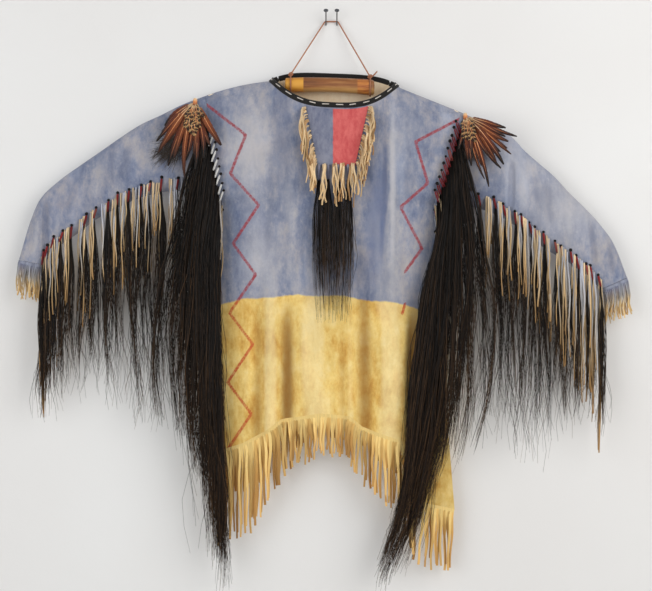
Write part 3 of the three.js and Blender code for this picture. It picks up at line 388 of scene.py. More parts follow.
@dataclass(frozen=True)
class SleeveShape:
    """A sleeve's outline and depth from the arm seam to the cuff."""

    table: Points
    creases: tuple[tuple[float, ...], ...]
    mid_y: float = -36.0
    lowest: float = 3.5
    seam_lowest: float = 5.0
    seed: int = 11

    @property
    def cells(self) -> int:
        """Number of stretches between the table's sections."""
        return len(self.table) - 1

    @property
    def outward(self) -> float:
        """The way that the sleeve points along X."""
        return math.copysign(1.0, self.table[0, 0])

    def section(self, along: Points) -> Points:
        """The table's values at places counted in sections, on a smooth curve through them."""
        along = np.asarray(along, dtype=float)
        k = np.clip(np.floor(along).astype(int), 0, self.cells - 1)
        t = (along - k)[..., None]
        rows = self.table
        b, c = rows[k], rows[k + 1]
        a = np.where((k > 0)[..., None], rows[np.maximum(k - 1, 0)], 2 * b - c)
        last = np.minimum(k + 2, self.cells)
        d = np.where((k + 2 <= self.cells)[..., None], rows[last], 2 * c - b)
        curve = 0.5 * (
            2 * b + (c - a) * t + (2 * a - 5 * b + 4 * c - d) * t**2 + (3 * b - a - 3 * c + d) * t**3
        )
        inside = (t >= 0.0) & (t <= 1.0)
        return np.where(inside, curve, lerp(b, c, t))

    def points(self, along: Points, s: Points, face: Face, creased: bool = False) -> Points:
        """Points of the sleeve.

        Args:
            along: Places in sections from the arm seam.
            s: Places from the top fold (0) to the lower edge (1).
            face: Front or back face.
            creased: Adds the creases and swells.

        Returns:
            Points of the outer face.
        """
        row = self.section(along)
        s = np.asarray(s, dtype=float)
        low = lerp(self.lowest, self.seam_lowest, np.clip(1.0 - np.asarray(along), 0.0, 1.0))
        depth = np.maximum(row[..., 4] * half_round(s), low * smooth(4.0 * s))
        depth = np.where(s <= 0.0, 0.0, depth)
        x = lerp(row[..., 0], row[..., 2], s)
        z = lerp(row[..., 1], row[..., 3], s)
        if creased:
            calm = smooth(np.asarray(along) / 0.8) * half_round(s)
            small = ripple(x, z, self.seed + face.value, 90.0, 0.8)
            share = 1.0 if face is Face.FRONT else 0.7
            depth = depth + calm * (share * crease_rise(self.creases, x, z) + small)
        return stacked(x, self.mid_y + face.value * depth, z)


LEFT = SleeveShape(SLEEVE_LEFT, LEFT_CREASES, seed=11)
RIGHT = SleeveShape(SLEEVE_RIGHT, RIGHT_CREASES, seed=21)

# ---------------------------------------------------------------- meshes from arrays


def mesh_object(
    name: str,
    finishes: list[bpy.types.Material],
    points: Points,
    face_sets: list[Points],
    values: dict[str, Points] | None = None,
    slots: Points | None = None,
    smooth_faces: bool | Points = True,
) -> bpy.types.Object:
    """Makes an object from arrays.

    Args:
        name: The piece's name.
        finishes: The materials of its slots.
        points: Points in millimetres.
        face_sets: Arrays of faces, each with one number of corners.
        values: Numbers per point, stored as attributes.
        slots: Material slot of each face.
        smooth_faces: Whether all faces, or each face, are shaded smooth.

    Returns:
        The object, linked to the scene, at the origin.
    """
    corners = np.concatenate([f.reshape(-1) for f in face_sets]).astype(np.int32)
    sizes = np.concatenate([np.full(len(f), f.shape[1]) for f in face_sets])
    starts = np.concatenate([[0], np.cumsum(sizes)[:-1]]).astype(np.int32)
    mesh = bpy.data.meshes.new(name)
    mesh.vertices.add(len(points))
    mesh.vertices.foreach_set("co", (points * MM).astype(np.float32).ravel())
    mesh.loops.add(len(corners))
    mesh.loops.foreach_set("vertex_index", corners)
    mesh.polygons.add(len(sizes))
    mesh.polygons.foreach_set("loop_start", starts)
    mesh.update(calc_edges=True)
    for finish in finishes:
        mesh.materials.append(finish)
    for key, numbers in (values or {}).items():
        layer = mesh.attributes.new(key, "FLOAT", "POINT")
        layer.data.foreach_set("value", np.asarray(numbers, dtype=np.float32).ravel())
    if slots is not None:
        mesh.polygons.foreach_set("material_index", np.asarray(slots, dtype=np.int32))
    mesh.polygons.foreach_set("use_smooth", np.broadcast_to(smooth_faces, len(sizes)).copy())
    mesh.validate()
    obj = bpy.data.objects.new(name, mesh)
    bpy.context.scene.collection.objects.link(obj)
    return obj


def grid_faces(rows: int, columns: int, loop: bool = False) -> Points:
    """Four-sided faces of a grid of points, rows laid end to end."""
    r, c = np.meshgrid(np.arange(rows - 1), np.arange(columns if loop else columns - 1), indexing="ij")
    d = (c + 1) % columns
    faces = [r * columns + c, r * columns + d, (r + 1) * columns + d, (r + 1) * columns + c]
    return np.stack(faces, axis=-1).reshape(-1, 4)


@dataclass
class Tubes:
    """Many closed strands of one number of rings, made together.

    Args:
        paths: Middle lines, strands by rings by 3.
        wide: Half widths, strands by rings.
        deep: Half depths, strands by rings.
        sides: Corners of a ring: 3 for hair, 4 for a flat thong, more for a cord.
        across: Directions of the widths, or None for straight across the view.
        along: Place of each ring from root to tip, or None for even steps.
    """

    paths: Points
    wide: Points
    deep: Points
    sides: int = 3
    across: Points | None = None
    along: Points | None = None

    def points(self) -> Points:
        """Corners of every ring of every strand."""
        along = unit(np.gradient(self.paths, axis=1))
        across = np.array([1.0, 0.0, 0.0]) if self.across is None else self.across
        across = np.broadcast_to(across, self.paths.shape)
        wide = unit(across - np.sum(across * along, axis=-1, keepdims=True) * along)
        deep = np.cross(along, wide)
        turn = 2.0 * math.pi * (np.arange(self.sides) + (0.5 if self.sides == 4 else 0.0)) / self.sides
        grow = math.sqrt(2.0) if self.sides == 4 else 1.0
        w = (grow * self.wide)[..., None, None] * np.cos(turn)[:, None] * wide[:, :, None, :]
        d = (grow * self.deep)[..., None, None] * np.sin(turn)[:, None] * deep[:, :, None, :]
        return (self.paths[:, :, None, :] + w + d).reshape(-1, 3)

    def faces(self) -> list[Points]:
        """Side faces and end caps."""
        count, rings = self.paths.shape[:2]
        ring = grid_faces(rings, self.sides, loop=True)
        first = np.arange(self.sides)[::-1]
        last = (rings - 1) * self.sides + np.arange(self.sides)
        caps = np.stack([first, last])
        start = (np.arange(count) * rings * self.sides)[:, None, None]
        return [(start + ring[None]).reshape(-1, 4), (start + caps[None]).reshape(-1, self.sides)]

    def spread(self, numbers: Points) -> Points:
        """Numbers per strand, or per ring of each strand, given to every corner."""
        count, rings = self.paths.shape[:2]
        numbers = np.asarray(numbers, dtype=float)
        if numbers.ndim == 1:
            numbers = np.broadcast_to(numbers[:, None], (count, rings))
        return np.repeat(numbers.reshape(-1), self.sides)

    def values(self, tint: Points) -> dict[str, Points]:
        """The place along each strand and the strand's own tint, per corner."""
        count, rings = self.paths.shape[:2]
        steps = np.linspace(0.0, 1.0, rings) if self.along is None else self.along
        along = np.broadcast_to(steps, (count, rings))
        return {"along": self.spread(along), "tint": self.spread(tint)}


def joined(
    name: str, finishes: list[bpy.types.Material], groups: list[tuple[Tubes, Points, int]]
) -> bpy.types.Object:
    """One object from several sets of strands.

    Args:
        name: The piece's name.
        finishes: The materials of its slots.
        groups: Each set with a tint per strand and its material slot.

    Returns:
        The joined object.
    """
    points, face_sets, slots, rounded, base = [], [], [], [], 0
    values: dict[str, list[Points]] = {"along": [], "tint": []}
    for tubes, tint, slot in groups:
        corners = tubes.points()
        for faces in tubes.faces():
            face_sets.append(faces + base)
            slots.append(np.full(len(faces), slot))
            rounded.append(np.full(len(faces), tubes.sides != 4))
        for key, numbers in tubes.values(tint).items():
            values[key].append(numbers)
        points.append(corners)
        base += len(corners)
    merged = {key: np.concatenate(numbers) for key, numbers in values.items()}
    shaded = np.concatenate(rounded)
    return mesh_object(
        name, finishes, np.concatenate(points), face_sets, merged, np.concatenate(slots), shaded
    )


def activate(obj: bpy.types.Object) -> None:
    """Makes one object the only selected and the active one."""
    bpy.ops.object.select_all(action="DESELECT")
    obj.select_set(True)
    bpy.context.view_layer.objects.active = obj


def place(obj: bpy.types.Object, slot: str, *nodes: str) -> None:
    """Gives a piece its body and hides the frame's nodes that it stands for; the slot is not used."""
    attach(obj, BODY_NAME)
    if nodes:
        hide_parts(*nodes)
    LOG.info("%s: %d faces", obj.name, len(obj.data.polygons))


# ---------------------------------------------------------------- finishes


class Graph:
    """A node tree that is built by calls, each of which gives a socket back."""

    def __init__(self, tree: bpy.types.NodeTree) -> None:
        """Takes the tree to build in."""
        self.tree = tree

    def node(self, kind: str, inputs: dict | None = None, **settings: object) -> bpy.types.Node:
        """Adds a node, sets it up, and fills or links its inputs."""
        made = self.tree.nodes.new(kind)
        for key, value in settings.items():
            setattr(made, key, value)
        for key, value in (inputs or {}).items():
            self.feed(made.inputs[key], value)
        return made

    def feed(self, socket: bpy.types.NodeSocket, value: object) -> None:
        """Links a socket, or sets its value."""
        if isinstance(value, bpy.types.NodeSocket):
            self.tree.links.new(value, socket)
        else:
            socket.default_value = value

    def position(self) -> bpy.types.NodeSocket:
        """Object coordinates in metres."""
        return self.node("ShaderNodeTexCoord").outputs["Object"]

    def value(self, name: str) -> bpy.types.NodeSocket:
        """A number stored per point."""
        return self.node("ShaderNodeAttribute", attribute_name=name).outputs["Fac"]

    def noise(
        self,
        scale: float,
        detail: float = 4.0,
        rough: float = 0.55,
        stretch: tuple[float, float, float] = (1, 1, 1),
        at: bpy.types.NodeSocket | None = None,
    ) -> bpy.types.NodeSocket:
        """Noise over object coordinates, stretched by dividing them."""
        where = at or self.position()
        if stretch != (1, 1, 1):
            mapping = {"Vector": where, "Scale": tuple(1.0 / s for s in stretch)}
            where = self.node("ShaderNodeMapping", mapping).outputs["Vector"]
        inputs = {"Vector": where, "Scale": scale, "Detail": detail, "Roughness": rough}
        return self.node("ShaderNodeTexNoise", inputs).outputs["Fac"]

    def sum(self, operation: str, a: object, b: object = 0.0, clamp: bool = False) -> bpy.types.NodeSocket:
        """A sum of two numbers."""
        return self.node("ShaderNodeMath", {0: a, 1: b}, operation=operation, use_clamp=clamp).outputs[0]

    def step(
        self, value: object, low: float, high: float, first: float = 0.0, last: float = 1.0
    ) -> bpy.types.NodeSocket:
        """Eases from first to last as value goes from low to high."""
        inputs = {"Value": value, "From Min": low, "From Max": high, "To Min": first, "To Max": last}
        return self.node("ShaderNodeMapRange", inputs, interpolation_type="SMOOTHSTEP").outputs["Result"]

    def mix(self, share: object, a: object, b: object, blend: str = "MIX") -> bpy.types.NodeSocket:
        """Mixes two colours."""
        made = self.tree.nodes.new("ShaderNodeMix")
        made.data_type = "RGBA"
        made.blend_type = blend
        for index, value in ((0, share), (6, a), (7, b)):
            self.feed(made.inputs[index], value)
        return made.outputs[2]

    def ramp(self, value: object, stops: list[tuple[float, Colour]]) -> bpy.types.NodeSocket:
        """Colours along a value."""
        made = self.node("ShaderNodeValToRGB", {"Fac": value})
        elements = made.color_ramp.elements
        while len(elements) < len(stops):
            elements.new(1.0)
        for element, (at, colour) in zip(elements, stops):
            element.position = at
            element.color = linear(colour)
        return made.outputs["Color"]

    def bump(
        self, height: object, strength: float, distance: float, under: object = None
    ) -> bpy.types.NodeSocket:
        """A bump by a height, in metres."""
        inputs = {"Height": height, "Strength": strength, "Distance": distance}
        if under is not None:
            inputs["Normal"] = under
        return self.node("ShaderNodeBump", inputs).outputs["Normal"]

    def group(self, tree: bpy.types.NodeTree, inputs: dict | None = None) -> bpy.types.Node:
        """Uses a shared group."""
        made = self.node("ShaderNodeGroup")
        made.node_tree = tree
        for key, value in (inputs or {}).items():
            self.feed(made.inputs[key], value)
        return made


def new_group(
    name: str, inputs: list[tuple[str, str, object]], outputs: list[tuple[str, str]]
) -> tuple[Graph, bpy.types.Node, bpy.types.Node]:
    """Starts a shared shader group.

    Args:
        name: The group's name.
        inputs: Name, socket type and starting value of each input.
        outputs: Name and socket type of each output.

    Returns:
        The graph, its input node and its output node.
    """
    tree = bpy.data.node_groups.new(name, "ShaderNodeTree")
    for title, kind, value in inputs:
        tree.interface.new_socket(title, in_out="INPUT", socket_type=kind).default_value = value
    for title, kind in outputs:
        tree.interface.new_socket(title, in_out="OUTPUT", socket_type=kind)
    graph = Graph(tree)
    return graph, tree.nodes.new("NodeGroupInput"), tree.nodes.new("NodeGroupOutput")


def nap_group() -> bpy.types.NodeTree:
    """The brushed nap of suede: a normal, and patches where the nap lies lighter or darker."""
    graph, given, out = new_group(
        "suede nap",
        [("Depth", "NodeSocketFloat", 1.0)],
        [("Normal", "NodeSocketVector"), ("Shade", "NodeSocketFloat")],
    )
    fibre = graph.noise(900.0, 3.0, 0.7)
    pebble = graph.noise(170.0, 4.0, 0.6)
    brushed = graph.noise(22.0, 5.0, 0.6, (1.0, 1.0, 2.2))
    height = graph.sum("ADD", graph.sum("MULTIPLY", fibre, 0.35), pebble)
    height = graph.sum(
        "MULTIPLY", graph.sum("ADD", height, graph.sum("MULTIPLY", brushed, 1.6)), given.outputs["Depth"]
    )
    graph.feed(out.inputs["Normal"], graph.bump(height, 0.55, 0.0011))
    graph.feed(
        out.inputs["Shade"],
        graph.step(graph.sum("ADD", brushed, graph.sum("MULTIPLY", pebble, 0.35)), 0.45, 0.95)
    )
    return graph.tree


def mottle_group() -> bpy.types.NodeTree:
    """Paint rubbed unevenly into hide, from thin (0) to thick (1), with small bare specks."""
    graph, given, out = new_group(
        "rubbed paint",
        [("Scale", "NodeSocketFloat", 1.0)],
        [("Cover", "NodeSocketFloat"), ("Specks", "NodeSocketFloat"), ("Stains", "NodeSocketFloat")],
    )
    where = graph.node(
        "ShaderNodeVectorMath", {0: graph.position(), 3: given.outputs["Scale"]}, operation="SCALE"
    ).outputs[0]
    broad = graph.noise(7.0, 5.0, 0.65, at=where)
    hand = graph.noise(26.0, 7.0, 0.72, (1.0, 1.0, 1.7), at=where)
    grain = graph.noise(85.0, 5.0, 0.7, (1.0, 1.0, 2.4), at=where)
    cover = graph.sum("ADD", graph.sum("MULTIPLY", broad, 0.42), graph.sum("MULTIPLY", hand, 0.42))
    cover = graph.sum("ADD", cover, graph.sum("MULTIPLY", grain, 0.30))
    graph.feed(out.inputs["Cover"], graph.step(cover, 0.40, 0.76))
    graph.feed(out.inputs["Specks"], graph.step(graph.noise(130.0, 4.0, 0.7, at=where), 0.56, 0.72))
    graph.feed(out.inputs["Stains"], graph.step(graph.noise(11.0, 3.0, 0.5, at=where), 0.60, 0.80))
    return graph.tree


def tone_group() -> bpy.types.NodeTree:
    """Darkens or lightens a colour by strand tint and fine streaks along it."""
    graph, given, out = new_group(
        "strand tone",
        [
            ("Color", "NodeSocketColor", (1, 1, 1, 1)), ("Tint", "NodeSocketFloat", 0.5),
            ("Spread", "NodeSocketFloat", 0.3)
        ],
        [("Color", "NodeSocketColor")],
    )
    streak = graph.noise(60.0, 3.0, 0.6, (0.15, 0.15, 3.0))
    swing = graph.sum(
        "ADD", graph.sum("SUBTRACT", given.outputs["Tint"], 0.5), graph.sum("SUBTRACT", streak, 0.5)
    )
    level = graph.sum("ADD", graph.sum("MULTIPLY", swing, given.outputs["Spread"]), 1.0)
    made = graph.node("ShaderNodeHueSaturation", {"Value": level, "Color": given.outputs["Color"]})
    graph.feed(out.inputs["Color"], made.outputs["Color"])
    return graph.tree


class SharedGroups:
    """The shader groups that several finishes use."""

    def __init__(self) -> None:
        """Builds each group once."""
        self.nap = nap_group()
        self.mottle = mottle_group()
        self.tone = tone_group()


@dataclass(frozen=True)
class Finish:
    """What all finishes share: a name and a principled shader."""

    name: str

    def start(self) -> tuple[bpy.types.Material, Graph, bpy.types.Node]:
        """A new material, its graph and its principled shader."""
        material = bpy.data.materials.new(self.name)
        material.use_nodes = True
        graph = Graph(material.node_tree)
        shader = material.node_tree.nodes["Principled BSDF"]
        return material, graph, shader


@dataclass(frozen=True)
class PaintedHide(Finish):
    """Suede rubbed with blue paint above a line and yellow below it, with red zigzag lines, painted shade
    in the fold troughs and painted highlight on the fold ridges.
    """

    def make(self, shared: SharedGroups) -> bpy.types.Material:
        """Builds the material.

        Args:
            shared: The shared shader groups.

        Returns:
            The material.
        """
        material, graph, shader = self.start()
        paint = graph.group(shared.mottle, {"Scale": 1.0})
        cover, specks, stains = (paint.outputs[k] for k in ("Cover", "Specks", "Stains"))
        blue = graph.ramp(
            cover,
            [(0.0, (172, 166, 166)), (0.3, (148, 149, 161)), (0.62, (120, 128, 150)), (1.0, (88, 100, 130))]
        )
        blue = graph.mix(graph.sum("MULTIPLY", specks, 0.28), blue, linear((184, 180, 178)))
        rubbed = graph.noise(15.0, 3.0, 0.5, (1.0, 1.0, 7.0))
        blue = graph.mix(graph.step(rubbed, 0.52, 0.74, 0.0, 0.42), blue, linear((170, 178, 198)))
        blue = graph.mix(graph.step(rubbed, 0.48, 0.28, 0.0, 0.40), blue, linear((88, 94, 116)))
        # Lighter and darker patches of the blue, with painted shade and highlight beside creases near the
        # flap and painted light on the right sleeve.
        blue = graph.mix(
            graph.step(graph.value("patchiness"), 0.0, 1.0, 0.0, 0.85), blue, linear((190, 188, 192))
        )
        blue = graph.mix(
            graph.step(graph.value("patchiness"), 0.0, -1.0, 0.0, 0.85), blue, linear((92, 104, 136))
        )
        blue = graph.mix(graph.sum("MULTIPLY", stains, 0.35), blue, linear((112, 104, 112)))
        yellow = graph.ramp(
            cover,
            [(0.0, (239, 214, 148)), (0.4, (229, 197, 117)), (0.75, (213, 169, 86)), (1.0, (190, 137, 60))]
        )
        yellow = graph.mix(graph.sum("MULTIPLY", specks, 0.22), yellow, linear((190, 146, 84)))
        yellow = graph.mix(graph.sum("MULTIPLY", stains, 0.30), yellow, linear((178, 134, 66)))
        wobble = graph.sum("MULTIPLY", graph.sum("SUBTRACT", graph.noise(45.0, 4.0, 0.6), 0.5), 9.0)
        below = graph.step(graph.sum("ADD", graph.value("band"), wobble), 2.5, -2.5)
        # Painted shade in the fold troughs and painted highlight on the fold ridges of the yellow.
        painted_fold_shading = graph.step(graph.value("painted_fold_shading"), -1.0, 14.0)
        painted_crest_highlight = graph.step(graph.value("painted_fold_shading"), -1.0, -8.0)
        yellow = graph.mix(graph.sum("MULTIPLY", painted_fold_shading, 0.85), yellow, linear((128, 84, 30)))
        yellow = graph.mix(graph.sum("MULTIPLY", painted_crest_highlight, 0.42), yellow, linear((243, 224, 172)))
        # The same painted shade and highlight over the folds of the blue.
        blue = graph.mix(
            graph.sum("MULTIPLY", graph.step(graph.value("painted_fold_shading"), 0.5, 5.0), 0.30), blue,
            linear((84, 88, 108))
        )
        blue = graph.mix(
            graph.sum("MULTIPLY", graph.step(graph.value("painted_fold_shading"), -0.8, -5.0), 0.28), blue,
            linear((188, 186, 188))
        )
        colour = graph.mix(below, blue, yellow)
        patchiness = graph.step(graph.noise(150.0, 4.0, 0.7), 0.30, 0.62, 0.45, 0.95)
        rough_edge = graph.sum("MULTIPLY", graph.sum("SUBTRACT", graph.noise(260.0, 3.0, 0.6), 0.5), 3.0)
        line = graph.step(graph.sum("ADD", graph.value("stripe"), rough_edge), 4.4, 2.3)
        red = graph.mix(below, linear((150, 58, 66)), linear((186, 74, 40)))
        colour = graph.mix(graph.sum("MULTIPLY", line, patchiness), colour, red)
        nap = graph.group(shared.nap, {"Depth": 1.0})
        light = graph.node(
            "ShaderNodeHueSaturation",
            {
                "Value": graph.sum("ADD", graph.sum("MULTIPLY", nap.outputs["Shade"], 0.16), 0.94),
                "Color": colour
            }
        )
        graph.feed(shader.inputs["Base Color"], light.outputs["Color"])
        graph.feed(shader.inputs["Normal"], nap.outputs["Normal"])
        shader.inputs["Roughness"].default_value = 0.92
        shader.inputs["Specular IOR Level"].default_value = 0.18
        shader.inputs["Sheen Weight"].default_value = 0.22
        shader.inputs["Sheen Roughness"].default_value = 0.55
        return material


@dataclass(frozen=True)
class PlainHide(Finish):
    """Suede of one colour, or of two that meet at x, rubbed unevenly."""

    light: Colour = (250, 234, 206)
    dark: Colour = (236, 210, 172)
    right_light: Colour | None = None
    right_dark: Colour | None = None
    parted_at: float = 3.5

    def make(self, shared: SharedGroups) -> bpy.types.Material:
        """Builds the material from the shared groups."""
        material, graph, shader = self.start()
        paint = graph.group(shared.mottle, {"Scale": 1.6})
        colour = graph.ramp(paint.outputs["Cover"], [(0.0, self.light), (1.0, self.dark)])
        if self.right_light and self.right_dark:
            right = graph.ramp(paint.outputs["Cover"], [(0.0, self.right_light), (1.0, self.right_dark)])
            x = graph.node("ShaderNodeSeparateXYZ", {0: graph.position()}).outputs["X"]
            edge = graph.sum("MULTIPLY", graph.sum("SUBTRACT", graph.noise(120.0), 0.5), 0.003)
            side = graph.step(
                graph.sum("ADD", x, edge), (self.parted_at - 1.0) * MM, (self.parted_at + 1.0) * MM
            )
            colour = graph.mix(side, colour, right)
        nap = graph.group(shared.nap, {"Depth": 0.8})
        graph.feed(shader.inputs["Base Color"], colour)
        graph.feed(shader.inputs["Normal"], nap.outputs["Normal"])
        shader.inputs["Roughness"].default_value = 0.92
        shader.inputs["Specular IOR Level"].default_value = 0.15
        shader.inputs["Sheen Weight"].default_value = 0.2
        shader.inputs["Sheen Roughness"].default_value = 0.6
        return material


@dataclass(frozen=True)
class StrandFinish(Finish):
    """Cut hide, hair or wound quill: colours from root to tip, and others for a share of strands."""

    stops: tuple[tuple[float, Colour], ...]
    other_stops: tuple[tuple[float, Colour], ...] = ()
    other_share: float = 0.0
    spread: float = 0.4
    roughness: float = 0.9
    specular: float = 0.15
    ridges: float = 0.0
    nap: float = 0.6

    def make(self, shared: SharedGroups) -> bpy.types.Material:
        """Builds the material from the shared groups."""
        material, graph, shader = self.start()
        along, tint = graph.value("along"), graph.value("tint")
        colour = graph.ramp(along, list(self.stops))
        if self.other_stops:
            other = graph.ramp(along, list(self.other_stops))
            colour = graph.mix(
                graph.step(tint, 1.0 - self.other_share, 1.02 - self.other_share), colour, other
            )
        jumbled = graph.sum("FRACT", graph.sum("MULTIPLY", tint, 7.31))
        toned = graph.group(shared.tone, {"Color": colour, "Tint": jumbled, "Spread": self.spread})
        graph.feed(shader.inputs["Base Color"], toned.outputs["Color"])
        if self.ridges:
            wave = graph.sum("SINE", graph.sum("MULTIPLY", along, self.ridges))
            graph.feed(shader.inputs["Normal"], graph.bump(wave, 0.8, 0.0008))
        elif self.nap:
            used = graph.group(shared.nap, {"Depth": self.nap})
            graph.feed(shader.inputs["Normal"], used.outputs["Normal"])
        shader.inputs["Roughness"].default_value = self.roughness
        shader.inputs["Specular IOR Level"].default_value = self.specular
        return material


@dataclass(frozen=True)
class WovenCloth(Finish):
    """Plain black cotton, with its weave and a little lint."""

    colour: Colour = (20, 17, 15)
    lint: Colour = (52, 46, 42)

    def make(self) -> bpy.types.Material:
        """Builds the material."""
        material, graph, shader = self.start()
        parts = graph.node("ShaderNodeSeparateXYZ", {0: graph.position()})
        warp = graph.sum("SINE", graph.sum("MULTIPLY", parts.outputs["X"], 5200.0))
        weft = graph.sum("SINE", graph.sum("MULTIPLY", parts.outputs["Z"], 5200.0))
        lint = graph.step(graph.noise(420.0, 4.0, 0.7), 0.58, 0.75)
        graph.feed(shader.inputs["Base Color"], graph.mix(lint, linear(self.colour), linear(self.lint)))
        graph.feed(shader.inputs["Normal"], graph.bump(graph.sum("MULTIPLY", warp, weft), 0.5, 0.0004))
        shader.inputs["Roughness"].default_value = 0.95
        shader.inputs["Sheen Weight"].default_value = 0.12
        return material


@dataclass(frozen=True)
class RodWood(Finish):
    """Worn brown wood with grain along the rod and painted ends."""

    dark: Colour = (76, 42, 22)
    middle: Colour = (140, 86, 45)
    light: Colour = (196, 146, 88)
    ends: Colour = (226, 164, 62)
    band: Colour = (146, 72, 30)
    left_end: float = -66.0
    right_band: tuple[float, float] = (62.0, 88.0)

    def make(self) -> bpy.types.Material:
        """Builds the material."""
        material, graph, shader = self.start()
        grain = graph.noise(26.0, 7.0, 0.6, (7.0, 1.0, 1.0))
        fine = graph.noise(240.0, 3.0, 0.6, (16.0, 1.0, 1.0))
        mixed = graph.sum("ADD", graph.sum("MULTIPLY", grain, 0.8), graph.sum("MULTIPLY", fine, 0.25))
        wood = graph.ramp(mixed, [(0.34, self.dark), (0.5, self.middle), (0.66, self.light)])
        parts = graph.node("ShaderNodeSeparateXYZ", {0: graph.position()})
        under = graph.step(
            graph.sum("ADD", parts.outputs["Z"], graph.sum("MULTIPLY", grain, 0.012)), -0.147, -0.158
        )
        wood = graph.mix(graph.sum("MULTIPLY", under, 0.6), wood, linear((206, 158, 96)))
        left = graph.step(parts.outputs["X"], (self.left_end + 0.8) * MM, (self.left_end - 0.8) * MM)
        inner, outer = self.right_band
        right = graph.step(parts.outputs["X"], (inner - 3.0) * MM, (inner + 1.0) * MM)
        right = graph.sum(
            "MULTIPLY", right, graph.step(parts.outputs["X"], (outer + 1.0) * MM, (outer - 1.0) * MM)
        )
        paint = graph.mix(graph.step(grain, 0.35, 0.7), linear(self.ends), linear((188, 112, 36)))
        colour = graph.mix(graph.sum("MULTIPLY", left, 0.92), wood, paint)
        rust = graph.mix(graph.step(fine, 0.35, 0.65), linear(self.band), linear((206, 132, 62)))
        colour = graph.mix(graph.sum("MULTIPLY", right, 0.85), colour, rust)
        graph.feed(shader.inputs["Base Color"], colour)
        graph.feed(shader.inputs["Roughness"], graph.step(mixed, 0.3, 0.7, 0.62, 0.38))
        graph.feed(shader.inputs["Normal"], graph.bump(mixed, 0.5, 0.0012))
        return material


@dataclass(frozen=True)
class Steel(Finish):
    """Dull, slightly scratched steel."""

    def make(self) -> bpy.types.Material:
        """Builds the material."""
        material, graph, shader = self.start()
        marks = graph.noise(300.0, 4.0, 0.7)
        graph.feed(
            shader.inputs["Base Color"], graph.ramp(marks, [(0.3, (70, 72, 76)), (0.7, (150, 152, 156))])
        )
        graph.feed(shader.inputs["Roughness"], graph.step(marks, 0.3, 0.7, 0.25, 0.5))
        graph.feed(shader.inputs["Normal"], graph.bump(marks, 0.2, 0.0002))
        shader.inputs["Metallic"].default_value = 0.9
        return material


@dataclass(frozen=True)
class FeatherFinish(Finish):
    """Feather barbs: rust with black tips, or dark with pale bars."""

    def make(self) -> bpy.types.Material:
        """Builds the material. The attribute kind is 0 for rust, 1 for barred and 2 for down."""
        material, graph, shader = self.start()
        along, tint, kind = graph.value("along"), graph.value("tint"), graph.value("kind")
        rust = graph.ramp(
            along,
            [
                (0.0, (140, 98, 62)), (0.12, (112, 58, 32)), (0.5, (100, 44, 24)), (0.74, (62, 28, 18)),
                (0.86, (15, 12, 11))
            ]
        )
        orange = graph.ramp(
            along,
            [
                (0.0, (190, 152, 104)), (0.15, (146, 82, 42)), (0.55, (118, 58, 28)), (0.8, (84, 42, 22)),
                (1.0, (44, 26, 18))
            ]
        )
        rust = graph.mix(graph.step(tint, 0.44, 0.5), rust, orange)
        bars = graph.sum("SINE", graph.sum("MULTIPLY", along, 15.0))
        barred = graph.mix(graph.step(bars, 0.2, 0.8), linear((44, 28, 18)), linear((184, 146, 96)))
        down = graph.mix(tint, linear((34, 28, 24)), linear((88, 74, 62)))
        colour = graph.mix(graph.step(kind, 0.4, 0.6), rust, barred)
        colour = graph.mix(graph.step(kind, 1.4, 1.6), colour, down)
        streak = graph.step(graph.noise(500.0, 2.0, 0.6), 0.3, 0.7, 0.75, 1.15)
        toned = graph.node("ShaderNodeHueSaturation", {"Value": streak, "Color": colour})
        graph.feed(shader.inputs["Base Color"], toned.outputs["Color"])
        shader.inputs["Roughness"].default_value = 0.55
        shader.inputs["Specular IOR Level"].default_value = 0.3
        shader.inputs["Sheen Weight"].default_value = 0.1
        return material


